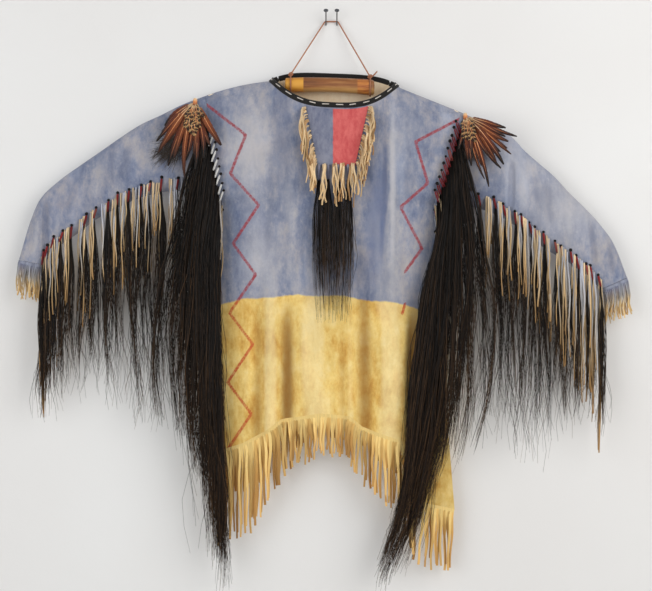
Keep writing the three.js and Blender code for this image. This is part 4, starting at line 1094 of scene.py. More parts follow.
class Finishes:
    """Every finish of the shirt, each made once."""

    def __init__(self) -> None:
        """Makes the shared groups and the materials."""
        shared = SharedGroups()
        self.painted = PaintedHide("painted hide").make(shared)
        self.raw = PlainHide("raw hide inside").make(shared)
        self.bib = PlainHide(
            "blue and red flap", (138, 141, 156), (84, 92, 120), (216, 112, 108), (182, 62, 66)
        ).make(shared)
        self.hem = StrandFinish(
            "yellow cut fringe",
            ((0.0, (230, 200, 130)), (0.3, (228, 194, 124)), (1.0, (214, 172, 108))),
            ((0.0, (218, 180, 108)), (0.4, (188, 144, 82)), (1.0, (176, 132, 78))),
            0.35,
            0.45,
        ).make(shared)
        self.cuff = StrandFinish(
            "cuff fringe",
            (
                (0.0, (134, 138, 154)), (0.38, (160, 156, 152)), (0.62, (214, 186, 138)),
                (1.0, (222, 188, 132))
            ),
            ((0.0, (112, 118, 142)), (0.5, (176, 158, 132)), (1.0, (196, 156, 98))),
            0.4,
            0.4,
        ).make(shared)
        self.thongs = StrandFinish(
            "sleeve thongs",
            ((0.0, (204, 182, 148)), (0.5, (188, 160, 120)), (1.0, (160, 124, 80))),
            ((0.0, (160, 164, 176)), (0.5, (172, 168, 164)), (0.8, (176, 152, 118)), (1.0, (148, 116, 76))),
            0.42,
            0.6,
        ).make(shared)
        self.bib_fringe = StrandFinish(
            "flap fringe",
            ((0.0, (228, 202, 162)), (1.0, (216, 184, 138))),
            ((0.0, (188, 152, 108)), (1.0, (158, 120, 80))),
            0.3,
            0.45,
        ).make(shared)
        self.hair = StrandFinish(
            "black hair",
            ((0.0, (15, 11, 9)), (0.6, (21, 15, 11)), (1.0, (42, 30, 21))),
            ((0.0, (42, 30, 20)), (0.5, (60, 43, 28)), (1.0, (96, 70, 46))),
            0.26,
            0.8,
            0.52,
            0.26,
            nap=0.0,
        ).make(shared)
        self.red_quill = StrandFinish(
            "red quill", ((0.0, (150, 44, 44)), (1.0, (126, 34, 36))),
            ((0.0, (176, 96, 84)), (1.0, (140, 56, 50))),
            0.25, 0.5, 0.5, 0.4, ridges=110.0,
        ).make(shared)
        self.white_quill = StrandFinish(
            "white quill", ((0.0, (252, 251, 248)), (1.0, (246, 243, 238))), spread=0.08, roughness=0.5,
            specular=0.4, ridges=110.0,
        ).make(shared)
        self.grey_quill = StrandFinish(
            "grey-blue quill", ((0.0, (146, 146, 164)), (1.0, (104, 106, 128))), spread=0.3, roughness=0.5,
            specular=0.4, ridges=90.0,
        ).make(shared)
        self.knot = StrandFinish(
            "black knot", ((0.0, (22, 18, 17)), (1.0, (30, 25, 24))), spread=0.4, roughness=0.8,
            specular=0.2
        ).make(shared)
        self.stitch = StrandFinish(
            "white thread", ((0.0, (232, 224, 214)), (1.0, (222, 214, 204))), spread=0.2, roughness=0.8,
            ridges=60.0
        ).make(shared)
        self.thong = StrandFinish(
            "hanging thong", ((0.0, (170, 118, 90)), (0.5, (158, 106, 80)), (1.0, (164, 112, 84))),
            spread=0.3, roughness=0.7, specular=0.25,
        ).make(shared)
        self.quill_shaft = StrandFinish(
            "feather shaft", ((0.0, (240, 212, 168)), (0.5, (212, 134, 78)), (1.0, (112, 58, 34))),
            spread=0.3, roughness=0.4, specular=0.4, nap=0.0,
        ).make(shared)
        self.cloth = WovenCloth("black cloth").make()
        self.wood = RodWood("rod wood").make()
        self.steel = Steel("pin steel").make()
        self.feather = FeatherFinish("feather barbs").make()


# ---------------------------------------------------------------- hide sheets


@dataclass(frozen=True)
class Zigzag:
    """A red line that goes to and fro beside one side edge of the front or back.

    Args:
        side: -1 beside the left edge, 1 beside the right one.
        top: Height of its first corner, on the shoulder seam.
        pitch: Height of one full to and fro.
        fall: Share of the pitch that a stroke inwards takes.
        near: Distance of the outer corners from the edge.
        far: Distance of the inner corners from the edge.
        strokes: Number of strokes.
        lean: How much nearer the middle each inner corner lies at the top than lower down.
        first: Distance of the very first corner from the edge.
    """

    side: int
    top: float
    pitch: float
    fall: float
    near: float
    far: float
    strokes: int
    lean: float = 0.0
    first: float = 0.0

    def corners(self) -> Points:
        """The x and z of the line's corners."""
        places = []
        for k in range(self.strokes + 1):
            z = self.top - self.pitch * (k // 2) - (self.pitch * self.fall if k % 2 else 0.0)
            left, right = BODY.side_x(z)
            edge = float(left if self.side < 0 else right)
            off = self.far if k % 2 else (self.first if k == 0 else self.near)
            off -= self.lean * min(k, 4) * (1.0 if k % 2 else -0.4)
            places.append((edge - self.side * off, z))
        return np.array(places)

    def distance(self, x: Points, z: Points) -> Points:
        """Distance of points from the line."""
        best = np.full(np.broadcast(x, z).shape, 1e3)
        corners = self.corners()
        for (x0, z0), (x1, z1) in zip(corners[:-1], corners[1:]):
            dx, dz = x1 - x0, z1 - z0
            t = np.clip(((x - x0) * dx + (z - z0) * dz) / (dx * dx + dz * dz), 0.0, 1.0)
            best = np.minimum(best, np.hypot(x - x0 - t * dx, z - z0 - t * dz))
        return best


def sheet(
    name: str,
    finishes: list[bpy.types.Material],
    grid: Points,
    outward: Points,
    values: dict[str, Points],
    loop: bool = False,
    thickness: float = 2.0,
) -> bpy.types.Object:
    """A wall of hide from a grid of points of its outer face.

    Args:
        name: The piece's name.
        finishes: Its outer and its inner finish.
        grid: Points, rows by columns by 3.
        outward: A direction that points out, for each point or for all.
        values: Numbers per point.
        loop: Joins the last column to the first.
        thickness: The wall.

    Returns:
        The object, with its outer face and rim in slot 0 and its inner face in slot 1.
    """
    rows, columns = grid.shape[:2]
    faces = grid_faces(rows, columns, loop)
    points = grid.reshape(-1, 3)
    hints = np.broadcast_to(outward, grid.shape).reshape(-1, 3)
    a, b, d = points[faces[:, 0]], points[faces[:, 1]], points[faces[:, 3]]
    if np.sum(np.cross(b - a, d - a) * hints[faces[:, 0]]) < 0.0:
        faces = faces[:, ::-1]
    obj = mesh_object(name, finishes, points, [faces], values)
    wall = obj.modifiers.new("wall", "SOLIDIFY")
    wall.thickness = thickness * MM
    wall.offset = -1.0
    wall.material_offset = 1
    activate(obj)
    bpy.ops.object.modifier_apply(modifier="wall")
    bpy.ops.object.shade_smooth_by_angle(angle=math.radians(50.0))
    return obj


@dataclass
class HideBody:
    """The front and back hides."""

    finishes: Finishes
    front_cells: tuple[int, int, int, int] = (38, 74, 64, 94)
    back_cells: tuple[int, int, int, int] = (24, 50, 46, 64)
    crowd: float = 1.8
    front_zigzags: tuple[Zigzag, ...] = (
        Zigzag(-1, -197.0, 163.0, 0.45, 30.0, 79.0, 10, -1.6),
        Zigzag(1, -230.0, 152.0, 0.37, 26.0, 92.0, 5, 4.0),
        Zigzag(1, -664.0, 60.0, 0.4, 0.0, 86.0, 1, 0.0, 78.0),
    )
    back_zigzags: tuple[Zigzag, ...] = (
        Zigzag(-1, -200.0, 160.0, 0.45, 24.0, 80.0, 9),
        Zigzag(1, -236.0, 160.0, 0.42, 26.0, 84.0, 9),
    )

    def shares(self, corner_cells: int, neck_cells: int) -> Points:
        """Places across the hide, with a column on each corner of the neck."""
        width = BODY.shoulder_right[0] - BODY.shoulder_left[0]
        hide_half = BODY.neck_half + BODY.binding
        stops = [0.0] + [
            (BODY.neck_middle + s * hide_half - BODY.shoulder_left[0]) / width for s in (-1, 1)
        ] + [1.0]
        cells = (corner_cells, neck_cells, corner_cells)
        parts = [np.linspace(stops[i], stops[i + 1], cells[i], endpoint=False) for i in range(3)]
        return np.concatenate([*parts, [1.0]])

    def rows(self, upper_rows: int, lower_rows: int) -> Points:
        """Places down the hide, crowded at the shoulder."""
        upper = np.linspace(0.0, 1.0, upper_rows, endpoint=False) ** self.crowd
        return np.concatenate([upper, np.linspace(1.0, 2.0, lower_rows)])

    def boundary(self, x: Points) -> Points:
        """Height of the line where blue meets yellow."""
        sag = 24.0 * np.abs((x + 40.0) / 240.0) ** 2.4
        return -645.0 - sag - 5.0 * smooth((x - 10.0) / 60.0) + 1.6 * np.sin(x / 19.0)

    def hide(self, face: Face, name: str) -> bpy.types.Object:
        """Builds one hide with its paint, and with painted shade and highlight over its folds."""
        cells = self.front_cells if face is Face.FRONT else self.back_cells
        rows = self.rows(*cells[2:])
        grid = BODY.hide_points(face, self.shares(*cells[:2]), rows)
        # The arm seam leaves the same narrow gap to the sleeve as the frame does.
        upper = rows <= 1.0
        for column, way in ((0, 1.0), (-1, -1.0)):
            grid[upper, column, 0] += way * 0.25
        x, z = grid[..., 0], grid[..., 2]
        lines = self.front_zigzags if face is Face.FRONT else self.back_zigzags
        stripe = np.minimum.reduce([line.distance(x, z) for line in lines])
        smooth_y = BODY.y(face, x, z, creased=False)
        folds = BODY.folds(FRONT_FOLDS if face is Face.FRONT else BACK_FOLDS, x, z)
        creases = -face.value * (smooth_y - grid[..., 1])
        # Painted shade where the hide folds in and painted highlight where it folds out.
        shade = -(folds + 1.4 * creases)
        # Painted shadow behind the pleat at the front's right edge, fainter lower down.
        if face is Face.FRONT:
            shade = shade + 15.0 * BODY.pleat_fall(x, z) * (1.0 - 0.8 * smooth((-860.0 - z) / 170.0))
        values = {
            "band": z - self.boundary(x), "stripe": stripe, "painted_fold_shading": shade, "patchiness": blue_patches_and_painted_light(x, z)
        }
        finishes = [self.finishes.painted, self.finishes.raw]
        return sheet(name, finishes, grid, np.array([0.0, face.value, 0.0]), values)

    def build(self) -> None:
        """Builds and places both hides."""
        front = self.hide(Face.FRONT, "front_hide")
        place(front, "blue_hide", "front")
        back = self.hide(Face.BACK, "back_hide")
        place(back, "blue_hide", "back")


@dataclass
class HideSleeve:
    """One sleeve: a half hide folded along its top."""

    shape: SleeveShape
    finishes: Finishes
    name: str
    node: str
    flat: tuple[float, float]
    area: float
    cells_along: int = 112
    cells_round: int = 38

    def build(self) -> None:
        """Builds and places the sleeve."""
        along = np.linspace(0.0, self.shape.cells, self.cells_along)
        s = 0.5 - 0.5 * np.cos(np.linspace(0.0, math.pi, self.cells_round))
        front = self.shape.points(along[:, None], s[None, :], Face.FRONT, creased=True)
        back = self.shape.points(along[:, None], s[None, 1:][:, ::-1], Face.BACK, creased=True)
        grid = np.concatenate([front, back], axis=1)
        grid[0, :, 0] += self.shape.outward * 0.25
        outward = grid - grid.mean(axis=1, keepdims=True)
        x, z = grid[..., 0], grid[..., 2]
        far = np.full(x.shape, 900.0)
        # Painted shade in the sleeve's creases and painted highlight on its ridges.
        painted_fold_shading = -1.5 * crease_rise(self.shape.creases, x, z)
        values = {"band": far, "stripe": far, "painted_fold_shading": painted_fold_shading, "patchiness": blue_patches_and_painted_light(x, z)}
        finishes = [self.finishes.painted, self.finishes.raw]
        obj = sheet(self.name, finishes, grid, outward, values, loop=True)
        place(obj, "blue_hide", self.node)


# ---------------------------------------------------------------- strands that hang


@dataclass(frozen=True)
class Strand:
    """Where strands hang from and how they lie, one row each.

    Args:
        root: Points that they hang from.
        length: Their lengths.
        width: Their widths.
        thick: Their thicknesses.
        fan: How far each tip drifts in x and y.
        first: Unit directions in which they leave the root.
    """

    root: Points
    length: Points
    width: Points
    thick: Points
    fan: Points
    first: Points


def hang(strand: Strand, rings: int, seed: int, curl: float = 3.0, twist: float = 0.5) -> Tubes:
    """Flat thongs that fall, drift, wander a little and twist.

    Args:
        strand: Their roots and sizes.
        rings: Rings a strand.
        seed: Picks how they wander.
        curl: How far they wander, in millimetres.
        twist: How far they turn, in half turns.

    Returns:
        The strands.
    """
    rng = np.random.default_rng(seed)
    count = len(strand.root)
    u = np.linspace(0.0, 1.0, rings)[None, :]
    fall = strand.length[:, None] * u
    start = np.exp(-fall / 14.0)
    heading = strand.first[:, None, :] * start[..., None] + np.array([0.0, 0.0, -1.0]) * (
        1.0 - start[..., None]
    )
    step = unit(heading) * (strand.length[:, None, None] / (rings - 1))
    path = strand.root[:, None, :] + np.cumsum(step, axis=1) - step[:, :1]
    phase = rng.uniform(0.0, 2.0 * math.pi, (count, 2, 1))
    pace = rng.uniform(0.7, 1.7, (count, 2, 1))
    sway = np.sin(phase + pace * 2.0 * math.pi * u[:, None, :]) - np.sin(phase)
    grown = smooth(fall / 60.0)
    path[..., 0] += strand.fan[:, :1] * u**1.4 + curl * grown * sway[:, 0]
    path[..., 1] += strand.fan[:, 1:] * smooth(3.0 * u) + 0.45 * curl * grown * sway[:, 1]
    path[..., 1] = np.minimum(path[..., 1], -4.2)
    turn = math.pi * twist * rng.uniform(-1.0, 1.0, (count, 1)) * u + 0.5 * rng.normal(
        0.0, 0.5, (count, 1)
    ) * grown
    across = stacked(np.cos(turn), np.sin(turn), 0.0 * turn)
    taper = lerp(1.0, 0.72, u) * (1.0 + 0.07 * np.sin(9.0 * u + phase[:, 0]))
    return Tubes(
        path, 0.5 * strand.width[:, None] * taper, 0.5 * strand.thick[:, None] * np.ones_like(u), 4, across
    )


@dataclass
class HemFringe:
    """The cut fringe of a hem: a narrow uncut strip and a strand for each cut."""

    face: Face
    finishes: Finishes
    name: str
    node: str
    count: int
    seed: int
    strip: float = 7.0
    seam: float = 0.1

    def build(self) -> None:
        """Builds and places the fringe."""
        rng = np.random.default_rng(self.seed)
        table = FRONT_HEM if self.face is Face.FRONT else BACK_HEM
        cells = self.count * 2
        shares = np.linspace(0.0, 1.0, cells + 1)
        grid = BODY.hide_points(self.face, shares, np.array([1.99, 2.0]))
        edge, up = grid[1], grid[0]
        edge = edge - np.array([0.0, self.face.value * 1.0, 0.0])
        up = up - np.array([0.0, self.face.value * 1.0, 0.0])
        tangent = unit(np.gradient(edge, axis=0))
        down = edge - up
        down = unit(down - np.sum(down * tangent, axis=1, keepdims=True) * tangent)
        middle = slice(1, None, 2)
        root = edge + down * self.seam
        half = 0.5 * (self.strip + 2.0)
        rings = np.zeros((1, len(root)))
        strip = Tubes((root + down * half)[None], rings + half, rings + 0.95, 4, down[None], rings)
        spread = np.linalg.norm(edge[2::2] - edge[:-2:2], axis=1)
        length = np.interp(edge[middle, 0], table[:, 0], table[:, 2]) * rng.uniform(
            0.86, 1.06, self.count
        ) - self.strip
        strands = hang(
            Strand(
                root[middle] + down[middle] * self.strip,
                length,
                np.minimum(1.14 * spread, 7.4) * rng.uniform(0.86, 1.12, self.count),
                np.full(self.count, 2.0),
                stacked(rng.normal(0.0, 3.4, self.count), rng.normal(0.0, 5.0, self.count), 0.0)[:, :2],
                down[middle],
            ),
            12,
            self.seed,
            1.5,
            0.3,
        )
        tint = rng.uniform(0.0, 1.0, self.count)
        obj = joined(self.name, [self.finishes.hem], [(strip, np.array([0.2]), 0), (strands, tint, 0)])
        place(obj, "yellow_fringe", self.node)


@dataclass
class CuffFringe:
    """The cut fringe round a cuff."""

    shape: SleeveShape
    finishes: Finishes
    name: str
    node: str
    seed: int
    cells: int = 34

    def ring(self, along: float) -> Points:
        """Points round the sleeve at a place along it, evenly spaced."""
        s = np.linspace(0.0, 1.0, 60)
        front = self.shape.points(np.full(60, along), s, Face.FRONT)
        back = self.shape.points(np.full(59, along), s[:-1], Face.BACK)[::-1]
        ring = np.concatenate([front, back])
        closed = np.concatenate([ring, ring[:1]])
        run = np.concatenate([[0.0], np.cumsum(np.linalg.norm(np.diff(closed, axis=0), axis=1))])
        at = np.linspace(0.0, run[-1], 2 * self.cells, endpoint=False)
        return np.stack([np.interp(at, run, closed[:, i]) for i in range(3)], axis=1)

    def build(self) -> None:
        """Builds and places the fringe."""
        rng = np.random.default_rng(self.seed)
        last = float(self.shape.cells)
        edge, before = self.ring(last), self.ring(last - 0.25)
        middle = edge.mean(axis=0)
        edge = middle + (edge - middle) * (1.0 - 1.0 / 40.0)
        onward = unit(edge - before)
        tangent = unit(np.roll(edge, -1, axis=0) - np.roll(edge, 1, axis=0))
        mids = slice(0, None, 2)
        wide = np.linalg.norm(np.roll(edge, -1, axis=0) - np.roll(edge, 1, axis=0), axis=1)[mids]
        root = edge + onward * 0.9
        strip = Tubes(
            np.stack([root, root + onward * 4.0, root + onward * 7.5], axis=1)[mids],
            0.53 * wide[:, None] * np.ones((1, 3)),
            np.full((self.cells, 3), 0.8),
            4,
            np.repeat(tangent[mids][:, None, :], 3, axis=1),
            np.zeros(3),
        )
        strands = hang(
            Strand(
                (root + onward * 6.0)[mids],
                rng.uniform(58.0, 84.0, self.cells),
                np.minimum(0.85 * wide, 6.0) * rng.uniform(0.8, 1.05, self.cells),
                np.full(self.cells, 1.6),
                stacked(rng.normal(0.0, 4.0, self.cells), rng.normal(0.0, 2.5, self.cells), 0.0)[:, :2],
                onward[mids],
            ),
            9,
            self.seed,
            2.4,
            0.8,
        )
        tint = rng.uniform(0.0, 1.0, self.cells)
        obj = joined(self.name, [self.finishes.cuff], [(strip, 0.4 * tint, 0), (strands, tint, 0)])
        place(obj, "raw_hide", self.node)


# ---------------------------------------------------------------- hair


@dataclass(frozen=True)
class LockRow:
    """Hair locks and thongs hung from the lower edge of a sleeve.

    Columns of the table: place from the body (0) to the cuff (1), length of the hair, length of
    the thongs, share of the hair's length that is dense.
    """

    shape: SleeveShape
    finishes: Finishes
    side: str
    table: Points
    count: int
    seed: int
    strands: int = 92
    rings: int = 12
    row: float = 0.86
    fullness: float = 0.6
    widest: float = 3.3
    depth: tuple[float, float] = (-12.0, 8.0)

    def cord(self, t: Points, drop: float) -> Points:
        """Points of the line that the locks hang from."""
        along = lerp(0.9, self.shape.cells - 0.35, t)
        points = self.shape.points(along, np.full(np.shape(t), self.row), Face.FRONT)
        return points + np.array([0.0, -1.8, -drop])

    def column(self, t: Points, index: int) -> Points:
        """Values of one column of the table at places along the sleeve."""
        return np.interp(t, self.table[:, 0], self.table[:, index])

    def wraps(self, t: Points, rng: np.random.Generator) -> tuple[Points, Points]:
        """Top and foot of each lock's quill wrap."""
        top = self.cord(t, 0.0) + stacked(
            rng.normal(0.0, 1.5, self.count), -1.0 + 0.0 * t, rng.uniform(1.0, 8.0, self.count)
        )
        lean = self.shape.outward * rng.uniform(1.0, 7.0, self.count)
        foot = top + stacked(lean, -4.0 + 0.0 * t, -rng.uniform(21.0, 29.0, self.count))
        return top, foot

    def hair(self, t: Points, foot: Points, rng: np.random.Generator) -> tuple[Tubes, Points]:
        """The hair of every lock, drawn into a few tips, and a tint for each strand."""
        amount = (self.strands * rng.uniform(0.7, 1.25, self.count)).astype(int)
        lock = np.repeat(np.arange(self.count), amount)
        n, tips = len(lock), 4
        tip = lock * tips + rng.integers(0, tips, n)
        count = self.count * tips
        turn, reach, draw = rng.uniform(0.0, 2.0 * math.pi, n), np.sqrt(
            rng.uniform(0.0, 1.0, n)
        ), rng.uniform(0.0, 1.0, n)
        dense = self.column(t, 3)[lock]
        length = self.column(t, 1)[lock] * rng.uniform(
            0.94, 1.04, self.count
        )[lock] * rng.uniform(0.86, 1.06, count)[tip]
        length = length * (dense * rng.uniform(0.78, 1.0, n) + (1.02 - dense) * draw**1.5)
        u = np.linspace(0.0, 1.0, self.rings)[None, :]
        fall = length[:, None] * u
        gap = np.abs(np.gradient(self.cord(t, 0.0)[:, 0]))[lock]
        half = np.minimum(12.0, self.fullness * gap)[:, None]
        grow = lerp(0.2, 1.0, smooth(fall / 110.0)) * (1.0 + 0.3 * fall / 500.0)
        spread = reach * np.cos(turn)
        own = (rng.uniform(-0.9, 0.9, count))[tip]
        narrow = 0.84 * smooth((fall - 90.0) / 230.0)
        across = lerp(spread[:, None], own[:, None], narrow)
        slow = rng.uniform(0.0, 2.0 * math.pi, count)[tip][:, None]
        bend = (
            5.0 * np.sin(slow + fall / 75.0) * smooth(fall / 220.0)
            + rng.normal(0.0, 7.0, count)[tip][:, None] * smooth(fall / 380.0)
        )
        phase = rng.uniform(0.0, 2.0 * math.pi, (n, 1))
        kink = rng.exponential(1.5, (n, 1)) * np.sin(
            phase + fall / rng.uniform(16.0, 55.0, (n, 1))
        ) * smooth(fall / 180.0)
        loose = (draw > 0.84)[:, None] * smooth((fall - 0.5 * length[:, None]) / 150.0)
        loose = loose * (rng.normal(0.0, 13.0, (n, 1)) + 9.0 * np.sin(phase + fall / 34.0))
        x = foot[lock, 0][:, None] + half * grow * across + bend + kink + loose
        y = foot[lock, 1][:, None] + 7.0 * grow * (
            reach * np.sin(turn)
        )[:, None] - 4.0 * smooth(fall / 120.0) + 0.5 * kink
        z = foot[lock, 2][:, None] + 3.0 - fall
        thin = rng.uniform(0.42, 0.72, (n, 1)) * lerp(1.0, 0.45, u**2)
        return Tubes(stacked(x, y, z), thin, thin, 3), rng.uniform(0.0, 1.0, n)

    def thongs(self, t: Points, rng: np.random.Generator) -> tuple[Tubes, Points]:
        """The flat hide thongs that hang in bunches between the locks, more of them near the cuff."""
        lock = np.repeat(
            np.arange(self.count), np.round(lerp(8.0, 11.0, smooth((t - 0.35) / 0.5))).astype(int)
        )
        n = len(lock)
        place_t = np.clip(t[lock] + rng.normal(0.0, 0.17 / self.count, n) + 0.42 / self.count, 0.0, 1.0)
        top = self.cord(place_t, 0.0) + stacked(
            0.0 * place_t, rng.uniform(-3.0, 0.5, n), rng.uniform(-4.0, 6.0, n)
        )
        length = self.column(place_t, 2) * rng.uniform(0.5, 1.12, n)
        strand = Strand(
            top,
            length,
            rng.uniform(0.56, 1.0, n) * self.widest,
            np.full(n, 1.5),
            stacked(rng.normal(0.0, 2.6, n), rng.uniform(*self.depth, n), 0.0)[:, :2],
            np.broadcast_to(np.array([0.0, -0.5, -0.87]), (n, 3)),
        )
        return hang(strand, 12, self.seed + 5, 1.9, 0.6), rng.uniform(0.0, 1.0, n)

    def build(self) -> None:
        """Builds and places the locks, their wraps and the thongs."""
        rng = np.random.default_rng(self.seed)
        t = (np.arange(self.count) + 0.5) / self.count + rng.uniform(-0.2, 0.2, self.count) / self.count
        top, foot = self.wraps(t, rng)
        hair, tint = self.hair(t, foot, rng)
        wrap = tapered(top, foot + unit(foot - top) * 4.0, 2.9, 2.5, 6, 8)
        knots = round_knots(top + np.array([0.0, -1.0, 2.0]), 3.6, rng)
        shade = rng.uniform(0.0, 1.0, self.count)
        finishes = [self.finishes.red_quill, self.finishes.knot]
        place(joined(f"{self.side}_sleeve_wraps", finishes, [(wrap, shade, 0), (knots, shade, 1)]), "hair")
        obj = joined(f"{self.side}_sleeve_locks", [self.finishes.hair], [(hair, tint, 0)])
        place(obj, "hair", f"sleeve_locks_{self.side}")
        thongs, shade = self.thongs(t, rng)
        obj = joined(f"{self.side}_sleeve_thongs", [self.finishes.thongs], [(thongs, shade, 0)])
        place(obj, "raw_hide", f"sleeve_fringe_{self.side}")


def tapered(start: Points, end: Points, first: float, last: float, rings: int, sides: int) -> Tubes:
    """Straight round sticks from start to end, with closed, slightly rounded ends."""
    u = np.linspace(0.0, 1.0, rings)[None, :, None]
    paths = lerp(start[:, None, :], end[:, None, :], u)
    radius = lerp(first, last, u[..., 0]) * np.where((u[..., 0] == 0.0) | (u[..., 0] == 1.0), 0.72, 1.0)
    radius = np.broadcast_to(radius, paths.shape[:2])
    return Tubes(paths, radius, radius, sides)


def round_knots(middle: Points, radius: float, rng: np.random.Generator) -> Tubes:
    """Small round knots of thread."""
    u = np.linspace(-1.0, 1.0, 7)[None, :]
    size = radius * rng.uniform(0.8, 1.15, (len(middle), 1))
    offset = stacked(0.25 * size * u, 0.0 * u, -size * u)
    around = size * np.sqrt(np.maximum(0.03, 1.0 - u**2))
    return Tubes(middle[:, None, :] + offset, around, around * 0.85, 8)


@dataclass(frozen=True)
class SideHair:
    """Long locks laced down one arm seam and the open side below it.

    Columns of hang: height, x of the outermost lock, x of the innermost lock.
    """

    finishes: Finishes
    side: str
    hang: Points
    low_hang: Points
    start: float
    y: float
    low_y: float
    ends: Points
    low_ends: Points
    wrap: bpy.types.Material
    seed: int
    wrap_from: float
    wrap_count: int
    paired: bool
    clumps: int = 19
    wild: float = 0.1
    inward: float = 0.45
    strands: int = 1400
    low_strands: int = 330
    rings: int = 13
    armpit: float = -420.0
    low_from: float = -450.0
    low_to: float = -760.0

    @property
    def outward(self) -> float:
        """The way out of the body along X."""
        return -1.0 if self.side == "left" else 1.0

    def edge(self, z: Points) -> Points:
        """Points of the seam that the locks are laced to."""
        x = BODY.side_x(z)[0 if self.side == "left" else 1]
        return stacked(x, BODY.y(Face.FRONT, x, z) - 1.8, z)

    def strand_paths(
        self,
        t: Points,
        top: Points,
        table: Points,
        y: float,
        ends: Points,
        rng: np.random.Generator,
        across: float,
    ) -> Tubes:
        """Hair in clumps from the laced line down through the table's outline.

        Args:
            t: Place of each strand between the outermost (0) and the innermost lock (1).
            top: Where each strand starts.
            table: Height, outer x and inner x.
            y: Middle depth of the hanging hair.
            ends: Heights of the tips, outermost and innermost.
            rng: Source of chance.
            across: Half the depth of the hanging hair.

        Returns:
            The strands.
        """
        n, clumps = len(t), self.clumps
        clump = np.clip(np.round(t * clumps + rng.normal(0.0, 0.35, n)), 0, clumps).astype(int)
        middle_t = (clump + rng.uniform(-0.3, 0.3, clumps + 1)[clump]) / clumps
        short = rng.normal(0.0, 1.0, clumps + 1)[clump]
        draw = rng.uniform(0.0, 1.0, n)
        end = lerp(ends[0], ends[1], t) + 30.0 * np.minimum(short, 0.4) + rng.normal(0.0, 9.0, n)
        length = (top[:, 2] - end) * (1.0 - 0.44 * draw**1.7)
        u = np.linspace(0.0, 1.0, self.rings)[None, :] ** 1.2
        fall = length[:, None] * u
        z = top[:, 2][:, None] - fall
        order = np.argsort(table[:, 0])
        outer = np.interp(z, table[order, 0], table[order, 1])
        inner = np.interp(z, table[order, 0], table[order, 2])
        tight = 0.78 * smooth((u - 0.25) / 0.75)
        share = np.maximum(lerp(t[:, None], middle_t[:, None], tight), 0.0) ** self.inward
        place_x = lerp(outer, inner, share)
        slow = rng.uniform(0.0, 2.0 * math.pi, clumps + 1)[clump][:, None]
        place_x = place_x + 8.0 * np.sin(slow + fall / 95.0) * smooth(fall / 320.0) * (1.0 - 0.7 * share)
        phase = rng.uniform(0.0, 2.0 * math.pi, (n, 1))
        kink = rng.exponential(2.6, (n, 1)) * np.sin(
            phase + fall / rng.uniform(20.0, 76.0, (n, 1))
        ) * smooth(fall / 260.0)
        kink = kink + rng.normal(0.0, 7.0, (n, 1)) * smooth((u - 0.7) / 0.3)
        wild = rng.uniform(0.0, 1.0, (n, 1)) > 1.0 - self.wild
        swing = rng.normal(9.0 * self.outward, 17.0, (n, 1)) + 13.0 * np.sin(
            phase + fall / rng.uniform(45.0, 120.0, (n, 1))
        )
        stray = wild * swing * smooth((fall - 140.0) / 420.0)
        x = lerp(top[:, 0][:, None], place_x, smooth(fall / 210.0)) + kink + stray
        layer = rng.uniform(-1.0, 1.0, (n, 1))
        depth = y + across * layer + 0.4 * kink + 3.0 * np.sin(slow)
        y_all = lerp(top[:, 1][:, None], depth, smooth(fall / 70.0))
        thin = rng.uniform(0.48, 0.8, (n, 1)) * lerp(1.0, 0.42, u**3)
        return Tubes(stacked(x, y_all, z), thin, thin, 3)

    def wraps(self, rng: np.random.Generator) -> bpy.types.Object:
        """Quill wraps and knots down the arm seam and the open side."""
        z = np.linspace(self.wrap_from, self.armpit + 12.0, self.wrap_count)
        shift = stacked(-self.outward * 3.0, -9.0, 6.0) + stacked(
            0.0 * z, 0.0 * z, rng.uniform(-2.0, 2.0, self.wrap_count)
        )
        low_z = np.linspace(self.low_from, self.low_to, 7)
        top = np.concatenate(
            [self.edge(z) + shift, self.edge(low_z) + np.array([self.outward * 3.0, -3.5, 4.0])]
        )
        count = len(top)
        lean = self.outward * rng.uniform(6.0, 10.0, count)
        foot = top + stacked(lean, -3.0, -rng.uniform(21.0, 27.0, count))
        radius, apart = (1.6, 4.0) if self.paired else (2.5, 0.0)
        offset = np.array([0.5 * apart, 0.0, 0.12 * apart])
        shade = rng.uniform(0.0, 1.0, count)
        groups = [(tapered(top + offset, foot + offset, radius, radius, 6, 8), shade, 0)]
        if self.paired:
            groups.append((tapered(top - offset, foot - offset, radius, radius, 6, 8), shade, 0))
        knots = round_knots(top + np.array([-self.outward * 2.0, -1.2, 2.6]), 3.6, rng)
        finishes = [self.wrap, self.finishes.knot]
        return joined(f"{self.side}_side_wraps", finishes, [*groups, (knots, shade, 1)])

    def thongs(self, rng: np.random.Generator) -> bpy.types.Object:
        """A few hide thongs laced in with the hair."""
        n = 13
        z = np.linspace(-404.0, self.low_to, n)
        root = self.edge(z) + stacked(self.outward * rng.uniform(0.0, 4.0, n), -5.0 + 0.0 * z, 0.0 * z)
        strand = Strand(
            root,
            rng.uniform(110.0, 230.0, n),
            rng.uniform(3.2, 4.6, n),
            np.full(n, 1.6),
            stacked(self.outward * rng.uniform(2.0, 16.0, n), rng.uniform(-24.0, -12.0, n), 0.0)[:, :2],
            np.broadcast_to(np.array([0.25 * self.outward, -0.6, -0.75]), (n, 3)),
        )
        tubes = hang(strand, 11, self.seed + 9, 4.0, 0.8)
        return joined(
            f"{self.side}_side_thongs", [self.finishes.thongs], [(tubes, rng.uniform(0.0, 1.0, n), 0)]
        )

